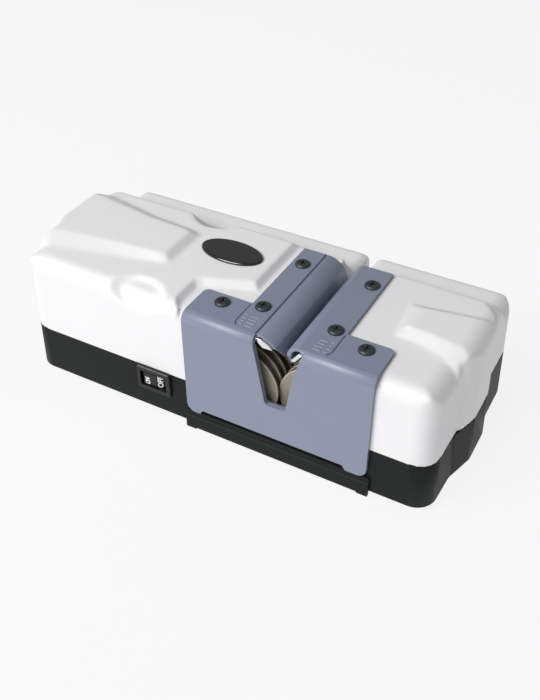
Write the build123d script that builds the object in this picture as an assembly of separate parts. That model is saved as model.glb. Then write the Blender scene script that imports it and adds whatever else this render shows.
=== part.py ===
from build123d import *
import math
import os

# Electric knife sharpener: two sets of interleaved grinding discs under a slotted guide plate.
#
# All sizes are in millimetres. X runs along the body, Y towards the back and Z up. Z = 0 is the
# surface that the rubber feet stand on. Left and right are as seen from the front.

# ---------------------------------------------------------------- clearances and cutters
FIT_GAP = 0.2              # between fixed pieces that face each other
SCREW_GAP = 0.1            # radial, of a screw in a bore that it threads into
SCREW_PASS_GAP = 0.2       # radial, of a screw in a bore that it passes through
RUNNING = 0.05             # radial clearance of everything on a shaft
ROOT = 1.0                 # how far ribs and posts reach into the wall that carries them
CUT = 1.0                  # how far a cutter runs past the faces that it cuts
FAR = 400.0                # a cutter's limit beyond the whole body

# ---------------------------------------------------------------- body
BODY_LENGTH = 281.0
BODY_DEPTH = 128.0
FOOT_HEIGHT = 4.0
BASE_HEIGHT = 32.7
FLOOR_RISE = 51.0          # parting line to the floor that the guide plate lies on
LEFT_RISE = 3.8            # that floor to the left part's flat top
LEFT_BAND_RISE = 4.0       # left flat top to the top of its raised band
RIGHT_BAND_RISE = 4.3      # right flat top to the top of its raised band
BAND_SPREAD = 1.28         # how much a band widens on its way down a rolled end
LEFT_BAND_END_ROUND = 4.0  # top edge of the left band over its end
SHELF_RISE = 38.8          # parting line to the low shelf along the back
BASE_WALL = 2.5
COVER_WALL = 2.8
CORNER_RADIUS = 10.0
FRONT_CORNER_RADIUS = 13.0
RIGHT_NOSE = 3.4           # the right end draws in towards the front
END_LEAN = 0.05            # both ends lean in towards the top, run per height
END_ROUND = 13.0           # top edges over both ends
ROLL_SLACK = 0.01          # a rolled end's cutter stands clear of the end face below the roll
FRONT_ROUND = 9.0          # top edge along the front
SHELF_END_ROUND = 12.0
SHELF_BACK_ROUND = 5.0
REAR_EDGE_Y = 28.5         # back edge of the left flat top
REAR_SLOPE = 52.0          # degrees, from that edge down to the shelf
REAR_EDGE_ROUND = 1.5
RIB = 2.0

# Bulge in the middle of each end
BULGE = 3.6
BULGE_FRONT_FOOT_Y = -32.0
BULGE_FRONT_Y = -12.0
BULGE_BACK_Y = 13.0
BULGE_BACK_FOOT_Y = 29.0
BULGE_BLEND = 14.0
BULGE_TOP_ROUND = 12.0

# Guide plate
SHEET = 2.2
PLATE_LEFT_X = -19.3
PLATE_WIDTH = 120.0
PLATE_CORNER_DEPTH = 26.0  # front wall to the back edge of the two front corners
STRIP_BACK_Y = 28.1
LEFT_STRIP_X = (12.1, 27.4)
RIGHT_STRIP_X = (55.6, 71.9)
FOLD_RADIUS = 6.0
APRON_CLEARANCE = 15.5     # apron's lowest edge above the table
APRON_CORNER = 6.0
RELIEF_X = (-10.3, 87.7)
RELIEF_HEIGHT = 18.7
SLIT_X = (-4.3, 84.7)
PLATE_CORNER = 3.5
STRIP_CORNER = 0.4
PLATE_INNER_CORNER = 1.0   # between a front corner and its strip
RELIEF_SLOPE = 2.0         # run of the relief's ends
RELIEF_CORNER = (1.0, 0.6)  # at the apron's edge and at the relief's top
LIP_DROP = 16.0            # rolled lip beside the blade slot
LIP_RADIUS = 7.0
LIP_SLANT = (7.6, 0.53)    # front edge: starts below the top, and its run per height
NOTCH_BOTTOM_Z = 43.6
NOTCH_BOTTOM_X = (35.3, 48.4)
NOTCH_LEFT_TOP = (27.2, 87.6)
NOTCH_RIGHT = ((52.6, 69.4), (55.5, 80.2), (58.6, 90.5))
NOTCH_CORNER = 2.5
NOTCH_RETURN = 3.4         # depth of the flange turned in round the notch
NOTCH_RETURN_WALL = 1.6
NOTCH_GAP = 0.6
NOTCH_RUN = 8.0            # how far the V runs back into the cover behind its front wall

# Plate screws, M5 pan head
FRONT_SCREWS = ((-3.5, 18.1), (19.2, 25.5), (65.1, 25.6), (86.9, 18.0))  # X, and from front wall
REAR_SCREWS = ((19.3, 11.0), (65.6, 10.6))  # X and Y
SCREW_HEAD_RADIUS = 4.7
SCREW_HEAD_HEIGHT = 1.7
SCREW_RADIUS = 2.5
SCREW_HOLE_GAP = 0.4
SCREW_LENGTH = 10.0
BOSS_RADIUS = 4.5
BOSS_DEPTH = 6.0
CROSS_REACH = 0.5          # arms of the cross socket, share of the head's radius
CROSS_WIDTH = 0.13
CROSS_FLOOR = 0.2          # share of the head's height left under the socket
PAN_ROUND = 0.85           # rounding of a pan head, share of its height

# Recess of the cover round the guide plate
RECESS_SLOPE = 4.0         # run of its sloping walls
RECESS_SIDE_GAP = 6.2      # apron's left edge to the foot of the wall
RECESS_BACK_GAP = 2.5      # back edge of the front corner to the foot of the wall
RECESS_STRIP_GAP = 4.5     # left strip to the foot of the wall
RECESS_LEAN = 11.5         # how far the back wall runs back towards the strip
RECESS_NOSE = 2.0          # the side wall draws in at the very front
RECESS_NOSE_DEPTH = (2.0, 10.0)  # where it does so, from the front wall
RECESS_CORNER = 3.0

# Guide hood, beside the blade slot
HOOD_SETBACK = 2.0         # its front end behind the front wall
HOOD_BACK_Y = 28.0
HOOD_SHEET = 1.4
HOOD_GAP = 0.55            # to the left strip
HOOD_RADIUS = 14.0
HOOD_WALL_X = 42.6         # side that the blade slides along
HOOD_DROP = 15.5
HOOD_SLANT = (5.9, 0.75)   # front edge of its side: starts below the top, and its run per height
HOOD_SEAT = 3.4            # ledge of the cover that the hood lies on
HOOD_FOOT_SETBACK = 4.0    # the strip that it stands on starts behind its front end
LIP_ROOM = 2.4             # window's edge under the right strip
LINER = 1.0
LINER_GAP = 0.3
LINER_REACH = 2.0          # how far the liners stand out in front
HOOD_LINER_FACE = ((28.1, 86.6), (30.0, 84.8), (32.4, 82.8), (41.0, 83.2))  # its turned-down end
LIP_LINER_TOP = (54.6, 57.2)
LIP_LINER_LOW = (50.1, 52.7, 81.0)
SLOT_WIDTH = 4.5
SLOT_FUNNEL = 4.5          # how far it widens on each side at the shelf
SLOT_EASE = 1.0            # left side's extra width halfway up the funnel
SLOT_BOTTOM_Z = 59.0

# Grinding head
LEFT_AXIS_X = 13.9
AXIS_DISTANCE = 51.0
AXIS_Z = 47.0
DISC_RADIUS = 26.0
DISC_THICKNESS = 2.2
DISC_BEVEL = 0.4
DISC_PITCH = 6.1
DISCS = 9
DISC_BORE_RADIUS = 5.0
SPACER_RADIUS = 9.0
SHAFT_RADIUS = 4.0
RING_THICKNESS = 0.5
RING_RADIUS = 7.0
FRONT_PLATE = 1.6
REAR_BLOCK = 12.0
STACK_CLEARANCE = 2.65     # last disc to the rear block
HEAD_MARGIN = 29.1         # spindles to the sides of the grinding head
HEAD_BOTTOM_Z = 19.0
HEAD_TOP_Z = 75.5
VALLEY_RISE = 5.5          # spindles' height to the floor of the rear block's notch
VALLEY_FLOOR = (-3.0, 5.0)  # its sides, from halfway between the spindles
VALLEY_TOP = (-12.0, 15.0)
VALLEY_CORNER = 1.0
BEARING_PASS = 2.5         # radial, round a shaft behind its bearing
SHOULDER = 2.0             # wider step of a spindle that meets its rear bearing
SHOULDER_LENGTH = 1.2
BEARING_RADIUS = 11.0
BEARING_WIDTH = 7.0
BUSH_RADIUS = 6.0
SHIELD = 1.0
LUG = (12.0, 14.0, 3.0)
LUG_SCREW_RADIUS = 2.0
LUG_SCREW_HEAD = 3.8
LUG_SCREW_HEAD_HEIGHT = 2.4
LUG_SCREW_LENGTH = 12.0

# Drive
GEAR_TEETH = 51
TOOTH_RISE = (0.9, 1.2)    # of a tooth above and below the pitch circle, in modules
TOOTH = (0.30, 0.10)       # half its width at the root and at the tip, share of a pitch
GEAR_WIDTH = 8.0
GEAR_CLEARANCE = 1.0       # rear block to the gears
GEAR_WEB = 2.5             # depth of the ring turned out of each side
GEAR_RIM = 3.0
GEAR_HUB_RADIUS = 9.0
PULLEY_CLEARANCE = 2.0     # gears to the pulleys
PULLEY_WIDTH = 10.0
PULLEY_FLANGE = 1.0
PULLEY_FLANGE_RISE = 2.5
DRIVEN_PULLEY_RADIUS = 20.0
MOTOR_PULLEY_RADIUS = 10.0
BELT_THICKNESS = 1.6
BELT_GAP = 0.2
SHAFT_END_GAP = 2.0

# Motor
MOTOR_X = -75.0
MOTOR_RADIUS = 28.0
MOTOR_FRONT_Y = -36.0
MOTOR_BACK_Y = 14.0
MOTOR_WALL = 2.0
BELL = 4.0
ROTOR_RADIUS = 20.0
MAGNET_GAP = 0.8
MAGNET_END = 8.0           # from each end of the can
MAGNET_SPLIT = 7.0         # half the gap between the two magnets
CORE_END = 9.0
COMMUTATOR = (11.0, 5.0)   # radius and length
BELL_COLLAR = 2.0
VENT_RADIUS = 3.0
VENT_CIRCLE = 19.0
VENTS = 6
FAN_RADIUS = 23.0
FAN_WIDTH = 7.0
FAN_BLADES = 9
FAN_GAP = 2.0
FAN_WALL = 1.4
FAN_HUB_RADIUS = 7.0
SADDLE_WIDTH = 48.0
SADDLE_Y = (-30.0, 8.0)
SADDLE_HEIGHT = 26.0
SADDLE_FOOT = 10.0
SADDLE_FOOT_HEIGHT = 4.0
SADDLE_SCREW_INSET = 6.0

# Swarf tray
TRAY_Y_BACK = 4.0
TRAY_WALL = 1.8
TRAY_GAP = 0.3
TRAY_OVERHANG = 1.4        # beyond the grinding head on both sides
TRAY_FRONT_X = (-20.8, 102.7)
TRAY_FRONT_Z = (2.0, 15.2)  # its top is the top of the whole tray
TRAY_FRONT = 2.2
TRAY_LEDGE_Z = 10.5
TRAY_LEDGE = 0.8
TRAY_CORNER = (0.4, 0.3)   # along the strip's top and along its ledge
TRAY_END_DROP = 1.0
TRAY_END_LENGTH = 7.0
MAGNET = (42.0, 8.0, 4.0)
MAGNET_TO_WALL = 3.0

# Rocker switch
SWITCH_X = -44.1
SWITCH_Z = 27.7
BEZEL = (24.4, 18.0)
BEZEL_PROUD = 2.2
BEZEL_CORNER = 1.2
BEZEL_CHAMFER = 0.5
SWITCH_BODY_CORNER = 0.5
SWITCH_BODY = (21.4, 14.8)
SWITCH_DEPTH = 18.0
ROCKER = (17.6, 9.0)
ROCKER_DROP = 0.8          # its middle below the bezel's
ROCKER_GAP = 0.5
ROCKER_HEADROOM = 2.0      # open pocket above it
ROCKER_TILT = 12.0
ROCKER_PIVOT_DEPTH = 6.0   # behind the bezel's face
ROCKER_FORM = (3.0, 4.8, 5.0)  # pivot to its front edges, its middle and its back
ROCKER_SHOULDER = 1.0      # pivot to where its sides draw in towards its back
ROCKER_CORNER = 0.5
POCKET_DEPTH = 6.5         # behind the pivot
PIVOT_RADIUS = 1.2
TERMINAL = (0.8, 6.3, 8.0)
TERMINAL_SPREAD = 4.7
PIVOT_REACH = 1.1          # of the pivot into the housing, past the rocker

# Badge, feet, cord gland and case screws
BADGE = (42.9, 23.4)
BADGE_XY = (-23.75, -0.4)
BADGE_TURN = -2.4
BADGE_HEIGHT = 1.6
BADGE_DOME = 0.8           # rounding of its edge, share of its height
FOOT_INSET = (22.5, 18.0)  # from the body's end and from its front or back
FOOT_RADIUS = 8.0
FOOT_RECESS = 1.0
FOOT_CHAMFER = 0.8
CASE_SCREW_INSET = 13.5
CASE_SCREW_RADIUS = 2.0
CASE_BOSS_RADIUS = 5.0
CASE_BOSS_RISE = 24.0
CASE_SCREW_SEAT = 8.0      # depth of the counterbore under the base
CASE_SCREW_HEAD = 3.8
CASE_SCREW_HEAD_HEIGHT = 2.5
CASE_SCREW_TIP = 6.0       # screw's end below the top of the cover's post
GLAND_X = -36.6
GLAND_Z = 20.0
GLAND_RADIUS = 6.0
GLAND_FLANGE_RADIUS = 9.0
GLAND_FLANGE = 2.4
GLAND_FLANGE_ROUND = 1.2
CORD_RADIUS = 3.5
GLAND_COLLAR = 1.5
GLAND_COLLAR_LENGTH = 3.0
WIRE_RADIUS = 1.2
WIRE_BEND = 4.0
WIRE_START = 2.5           # behind the gland's inner end
WIRE_GAP = 0.3
LIVE_TURN_Y = (-26.0, -12.0)    # where the live lead turns up to the switch's height
NEUTRAL_TURN_Y = (4.0, 14.0)    # where the neutral lead turns up to the motor
NEUTRAL_DROP = 8.0         # that turn below the motor's shaft
LINK_RISE_Y = (8.0, -22.0, -14.0)  # behind its terminal, then along the motor's side
LINK_TURN = (2.0, 10.0)    # its turn, out from the motor's side and below the shaft

# Finger recess in each long edge of the left part
DIMPLE_X = -53.3
FRONT_DIMPLE = (60.0, 39.0, 26.4, 40.9)  # radius, half width, centre out from and above the edge
FRONT_DIMPLE_DEPTH = 3.0   # below the body's faces, which its floor follows
REAR_DIMPLE = (30.0, 25.0, 17.0, 14.0)

# ---------------------------------------------------------------- levels and faces
HALF_LENGTH = BODY_LENGTH / 2
HALF_DEPTH = BODY_DEPTH / 2
BASE_Z = FOOT_HEIGHT
BASE_FLOOR_Z = BASE_Z + BASE_WALL
TRAY_BOTTOM_Z = BASE_FLOOR_Z + FIT_GAP
PARTING_Z = BASE_Z + BASE_HEIGHT
FLOOR_Z = PARTING_Z + FLOOR_RISE
LEFT_TOP_Z = FLOOR_Z + LEFT_RISE
LEFT_BAND_Z = LEFT_TOP_Z + LEFT_BAND_RISE
RIGHT_BAND_Z = FLOOR_Z + RIGHT_BAND_RISE
SHELF_Z = PARTING_Z + SHELF_RISE
FRONT_Y = -HALF_DEPTH
BACK_Y = HALF_DEPTH
APRON_Y = FRONT_Y - SHEET
PLATE_TOP_Z = FLOOR_Z + SHEET
PLATE_RIGHT_X = PLATE_LEFT_X + PLATE_WIDTH
PLATE_BACK_Y = FRONT_Y + PLATE_CORNER_DEPTH
SCREW_XY = tuple((x, FRONT_Y + depth) for x, depth in FRONT_SCREWS) + REAR_SCREWS
HOOD_Y = (FRONT_Y + HOOD_SETBACK, HOOD_BACK_Y)
SLOT_X = (HOOD_WALL_X, HOOD_WALL_X + SLOT_WIDTH)
RIGHT_AXIS_X = LEFT_AXIS_X + AXIS_DISTANCE
HEAD_X = (LEFT_AXIS_X - HEAD_MARGIN, RIGHT_AXIS_X + HEAD_MARGIN)
FRONT_PLATE_Y = FRONT_Y + COVER_WALL + FIT_GAP
FIRST_DISC_Y = FRONT_PLATE_Y + FRONT_PLATE + FIT_GAP + RING_THICKNESS
STACK_END_Y = FIRST_DISC_Y + DISC_PITCH * (DISCS - 0.5) + DISC_THICKNESS
REAR_BLOCK_Y = STACK_END_Y + STACK_CLEARANCE
REAR_BLOCK_BACK_Y = REAR_BLOCK_Y + REAR_BLOCK
GEAR_Y = REAR_BLOCK_BACK_Y + GEAR_CLEARANCE
PULLEY_Y = GEAR_Y + GEAR_WIDTH + PULLEY_CLEARANCE
SHAFT_END_Y = PULLEY_Y + PULLEY_WIDTH + SHAFT_END_GAP
TRAY_X = (HEAD_X[0] - TRAY_OVERHANG, HEAD_X[1] + TRAY_OVERHANG)
ROCKER_Z = SWITCH_Z - ROCKER_DROP
FOOT_XY = (HALF_LENGTH - FOOT_INSET[0], HALF_DEPTH - FOOT_INSET[1])
CASE_SCREW_XY = (HALF_LENGTH - CASE_SCREW_INSET, HALF_DEPTH - CASE_SCREW_INSET)
FRONT_REACH = max(BEZEL_PROUD, SHEET, FIT_GAP + TRAY_FRONT)
BACK_REACH = GLAND_FLANGE
CENTRE_SHIFT = (FRONT_REACH - BACK_REACH) / 2


# ---------------------------------------------------------------- shape helpers
def outline(corners):
    """Closed face in XY from corners (x, y) or (x, y, radius)."""
    arcs = []
    count = len(corners)
    for i, corner in enumerate(corners):
        here = Vector(corner[0], corner[1])
        radius = corner[2] if len(corner) > 2 else 0.0
        if radius <= 0.0:
            arcs.append((here, None, here))
            continue
        back = (Vector(*corners[i - 1][:2]) - here).normalized()
        ahead = (Vector(*corners[(i + 1) % count][:2]) - here).normalized()
        half = math.radians(back.get_angle(ahead)) / 2
        middle = (back + ahead).normalized()
        reach = radius / math.tan(half)
        centre = here + middle * (radius / math.sin(half))
        arcs.append((here + back * reach, centre - middle * radius, here + ahead * reach))
    edges = []
    for i, (start, through, end) in enumerate(arcs):
        if through is not None:
            edges.append(ThreePointArc(start, through, end))
        following = arcs[(i + 1) % count][0]
        if (following - end).length > 1e-6:
            edges.append(Line(end, following))
    return make_face(Wire(edges))


def prism_xy(corners, z0, z1):
    return extrude(Pos(0, 0, z0) * outline(corners), z1 - z0)


def prism_xz(corners, y0, y1):
    return extrude(Pos(0, y1, 0) * (Plane.XZ * outline(corners)), y1 - y0)


def prism_yz(corners, x0, x1):
    return extrude(Pos(x0, 0, 0) * (Plane.YZ * outline(corners)), x1 - x0)


def block(x, y, z):
    """Box between limits (low, high) along each axis."""
    size = [high - low for low, high in (x, y, z)]
    centre = [(high + low) / 2 for low, high in (x, y, z)]
    return Pos(*centre) * Box(*size)


def post(radius, z0, z1, x, y):
    return Pos(x, y, z0) * Cylinder(radius, z1 - z0, align=(Align.CENTER, Align.CENTER, Align.MIN))


def rod(radius, y0, y1, x, z):
    flat = Cylinder(radius, y1 - y0, align=(Align.CENTER, Align.CENTER, Align.MAX))
    return Pos(x, y0, z) * Rot(90, 0, 0) * flat


def tube(outer, inner, y0, y1, x, z):
    return rod(outer, y0, y1, x, z) - rod(inner, y0 - CUT, y1 + CUT, x, z)


def slab(lower, upper, z0, z1):
    """Solid with sloping sides between two polygons of as many corners."""
    bottom = Pos(0, 0, z0) * outline(lower)
    top = Pos(0, 0, z1) * outline(upper)
    return loft([bottom, top], ruled=True)


def spheroid(centre, half_width, radius):
    """Ellipsoid that is round about a line along X."""
    arc = EllipticalCenterArc((0, 0), half_width, radius, arc_size=180)
    half = make_face(Wire([arc, Line((-half_width, 0), (half_width, 0))]))
    return Pos(*centre) * revolve(half, Axis.X)


def write(name, shape):
    """Write one sub-part, moved so that the whole is centred over the origin."""
    placed = Pos(0, CENTRE_SHIFT, 0) * shape
    placed.label = name
    export_step(placed, f"parts/{name}.step")


def group(shapes):
    return Compound(children=[s for shape in shapes for s in shape.solids()])


# ---------------------------------------------------------------- casing
def lean(z):
    """How far the ends are drawn in at height z, from where they are at the parting line."""
    return END_LEAN * (z - PARTING_Z)


def plan(inset, bulge, z):
    """Plan of the body at height z, drawn in by inset, with or without the bulges of the ends."""
    x = HALF_LENGTH - inset - lean(z)
    y = HALF_DEPTH - inset
    ends = []
    for nose in (RIGHT_NOSE, 0.0):
        end = [(x - nose, -y, FRONT_CORNER_RADIUS - inset / 2)]
        if bulge:
            end += bulge_corners(x, 0.0, nose)
        elif nose > 0.0:
            end.append((x, BULGE_BACK_FOOT_Y))
        end.append((x, y, CORNER_RADIUS - inset / 2))
        ends.append(end)
    right, left = ends
    return right + [(-px, *rest) for px, *rest in reversed(left)]


def bulge_corners(x, inset, nose):
    """Corners of one end's bulge, from front to back, on an end face at x."""
    front, back = BULGE_FRONT_FOOT_Y + inset, BULGE_BACK_FOOT_Y - inset
    slant = nose * (BULGE_BACK_FOOT_Y - front) / (BULGE_BACK_FOOT_Y + HALF_DEPTH)
    return [(x - slant, front, BULGE_BLEND), (x + BULGE, BULGE_FRONT_Y, BULGE_BLEND),
            (x + BULGE, BULGE_BACK_Y, BULGE_BLEND), (x, back, BULGE_BLEND)]


def casing_prism(inset, bulge, z0, z1):
    return slab(plan(inset, bulge, z0), plan(inset, bulge, z1), z0, z1)


def rolled_ends(top, inset, bottom, radius):
    """Space between the two ends, which lean in and roll over into a flat top."""
    x = HALF_LENGTH - inset
    spring = top - radius
    low = x - lean(bottom) + ROLL_SLACK * (spring - bottom)
    high = x - lean(top) - ROLL_SLACK * radius
    right = prism_xz([(-FAR, bottom), (low, bottom), (high, top, radius), (-FAR, top)], -FAR, FAR)
    turn = math.degrees(math.atan2(RIGHT_NOSE, BULGE_BACK_FOOT_Y + HALF_DEPTH))
    left = mirror(right, Plane.YZ)
    pivot = Pos(x, BULGE_BACK_FOOT_Y, 0)
    return left & (pivot * Rot(0, 0, -turn) * pivot.inverse() * right)


def rear_edge(z, inset):
    """Y of the sloping back face of the upper part at height z."""
    angle = math.radians(REAR_SLOPE)
    return REAR_EDGE_Y + (LEFT_TOP_Z - z) / math.tan(angle) - inset / math.sin(angle)


def upper_form(top, inset, bottom, end_round=END_ROUND):
    """Upper part of the body under a flat top, rounded over its ends and front."""
    y = HALF_DEPTH - inset
    z = top - inset
    back = rear_edge(bottom, inset)
    section = [(-y, bottom), (back, bottom), (rear_edge(z, inset), z, REAR_EDGE_ROUND),
               (-y, z, FRONT_ROUND)]
    body = casing_prism(inset, False, bottom, z) & prism_yz(section, -FAR, FAR)
    return body & rolled_ends(z, inset, bottom, end_round)


def shelf_form(inset, bottom):
    """Lower body under the shelf along the back."""
    x = HALF_LENGTH - inset
    y = HALF_DEPTH - inset
    z = SHELF_Z - inset
    low, high = x - lean(bottom), x - lean(z)
    ends = [(-low, bottom), (low, bottom), (high, z, SHELF_END_ROUND), (-high, z, SHELF_END_ROUND)]
    front = BULGE_BACK_FOOT_Y + CUT
    section = [(front, bottom), (y, bottom), (y, z, SHELF_BACK_ROUND), (front, z)]
    body = casing_prism(inset, False, bottom, z) & prism_yz(section, -FAR, FAR)
    return body & prism_xz(ends, -FAR, FAR)


def bulge_form(side, top, inset, bottom, top_round=BULGE_TOP_ROUND):
    """One end's bulge, rounded over at its top."""
    z = top - inset
    nose = RIGHT_NOSE if side > 0 else 0.0
    root = HALF_LENGTH - 2 * END_ROUND
    faces = []
    for level in (bottom, z):
        x = HALF_LENGTH - inset - lean(level)
        corners = bulge_corners(x, inset, nose)
        faces.append([(root, corners[0][1]), *corners, (root, corners[-1][1])])
    crest = HALF_LENGTH - inset + BULGE
    over = [(root, bottom), (crest - lean(bottom), bottom), (crest - lean(z), z, top_round),
            (root, z)]
    form = slab(*faces, bottom, z) & prism_xz(over, -FAR, FAR)
    return form if side > 0 else mirror(form, Plane.YZ)


def band(lower, upper, z0, z1):
    """Raised band with sloping sides, which also follow the rolled end down below z0."""
    skirt = [(x, y * BAND_SPREAD) for x, y in lower]
    return slab(lower, upper, z0, z1) + slab(skirt, lower, z0 - END_ROUND, z0)


def left_band():
    """Raised band along the left top, which runs out over the end."""
    end = -HALF_LENGTH
    far = end - BULGE
    lower = [(far, -42.5), (end, -42.5), (end + 10.9, -48.8), (-92.4, -39.3), (-57, -31.4),
             (-51.3, -29), (-51.3, 7), (-57, 10), (-90, 13), (end + 11.5, 21), (end, 20), (far, 20)]
    upper = [(far, -38.5), (end, -38), (end + 7.6, -35.0), (-92.4, -29.2), (-59, -25.9),
             (-57, -24.3), (-57, 2.5), (-59, 3.8), (-90, 5.8), (end + 11.2, 12.2), (end, 13),
             (far, 13)]
    return band(lower, upper, LEFT_TOP_Z, LEFT_BAND_Z)


def right_band():
    """Raised band along the right top."""
    end = HALF_LENGTH
    far = end + BULGE
    lower = [(93.6, -23.6), (end - 29, -25.7), (end - 17.7, -29.6), (end - 13.5, -31.4),
             (end - 9, -30.8), (end, -27), (far, -27), (far, 16), (end, 15), (end - 16.2, 12.5),
             (91, 8)]
    upper = [(99.5, -17.2), (end - 26, -18.3), (end - 11.1, -20.8), (end - 5, -20.5),
             (end, -19.5), (far, -19.5), (far, 9), (end, 9), (end - 19.3, 6.3), (102, 2.5)]
    return band(lower, upper, FLOOR_Z, RIGHT_BAND_Z)


def recess_cutter():
    """Space on the plate's side of the left top, bounded by sloping walls."""
    foot_x = PLATE_LEFT_X - RECESS_SIDE_GAP
    foot_y = PLATE_BACK_Y + RECESS_BACK_GAP
    strip_x = LEFT_STRIP_X[0] - RECESS_STRIP_GAP
    nose_x = foot_x + RECESS_NOSE
    nose_y = [FRONT_Y + depth for depth in RECESS_NOSE_DEPTH]
    corner = RECESS_CORNER
    run = RECESS_SLOPE
    lower = [(nose_x, -FAR), (FAR, -FAR), (FAR, FAR), (strip_x, FAR),
             (strip_x, foot_y + RECESS_LEAN), (foot_x + corner, foot_y), (foot_x, foot_y - corner),
             (foot_x, nose_y[1]), (nose_x, nose_y[0])]
    upper = [(nose_x - run, -FAR), (FAR, -FAR), (FAR, FAR), (strip_x - run, FAR),
             (strip_x - run, foot_y + RECESS_LEAN + run), (foot_x + corner - run, foot_y + run),
             (foot_x - run, foot_y - corner + run), (foot_x - run, nose_y[1]),
             (nose_x - run, nose_y[0])]
    wall = slab(lower, upper, FLOOR_Z, LEFT_TOP_Z)
    return wall + prism_xy(lower, 0, FLOOR_Z) + prism_xy(upper, LEFT_TOP_Z, FAR)


def dimples(grow):
    """The two finger recesses of the left part, grown outwards by grow."""
    dishes = []
    for edge_y, side, dish in ((FRONT_Y, -1, FRONT_DIMPLE), (REAR_EDGE_Y, 1, REAR_DIMPLE)):
        radius, half_width, out, above = dish
        centre = (DIMPLE_X, edge_y + side * out, LEFT_TOP_Z + above)
        dishes.append(spheroid(centre, half_width + grow, radius + grow))
    front, rear = dishes
    return [front - upper_form(LEFT_TOP_Z, FRONT_DIMPLE_DEPTH + grow, PARTING_Z - CUT), rear]


def notch(grow, bottom_corner=NOTCH_CORNER):
    """Corners of the V notch in XZ, grown outwards by grow."""
    left, right = NOTCH_BOTTOM_X
    high = LEFT_BAND_Z + CUT
    corners = [(NOTCH_LEFT_TOP[0] - grow, high), (NOTCH_LEFT_TOP[0] - grow, NOTCH_LEFT_TOP[1]),
               (left - grow, NOTCH_BOTTOM_Z - grow, bottom_corner + grow),
               (right + grow, NOTCH_BOTTOM_Z - grow, bottom_corner + grow)]
    corners += [(x + grow, z) for x, z in NOTCH_RIGHT]
    return corners + [(NOTCH_RIGHT[-1][0] + grow, high)]


def blade_slot(y0, y1, grow=0.0):
    """Space for a blade behind the grinding head, with a funnel at the shelf's height."""
    left, right = SLOT_X[0] - grow, SLOT_X[1] + grow
    low = SLOT_BOTTOM_Z - grow
    top = LEFT_BAND_Z + CUT
    corners = [(left, low), (right, low), (right, SHELF_Z - SLOT_FUNNEL),
               (right + SLOT_FUNNEL, SHELF_Z), (right + SLOT_FUNNEL, top),
               (left - SLOT_FUNNEL, top), (left - SLOT_FUNNEL, SHELF_Z),
               (left - SLOT_EASE, SHELF_Z - SLOT_FUNNEL / 2), (left, SHELF_Z - SLOT_FUNNEL)]
    return prism_xz(corners, y0, y1)


def case_posts(radius, z0, z1):
    x, y = CASE_SCREW_XY
    return [post(radius, z0, z1, sx * x, sy * y) for sx in (-1, 1) for sy in (-1, 1)]


def corner_ribs(z0, z1, wall):
    """Ribs that tie each case post to the two walls beside it."""
    x, y = CASE_SCREW_XY
    half = RIB / 2
    limit = casing_prism(wall / 2, False, z0, z1)
    ribs = []
    for sx in (-1, 1):
        for sy in (-1, 1):
            along = sorted((sx * x, sx * (HALF_LENGTH + RIB)))
            across = sorted((sy * y, sy * (HALF_DEPTH + RIB)))
            ribs.append(limit & block(along, (sy * y - half, sy * y + half), (z0, z1)))
            ribs.append(limit & block((sx * x - half, sx * x + half), across, (z0, z1)))
    return ribs


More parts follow.
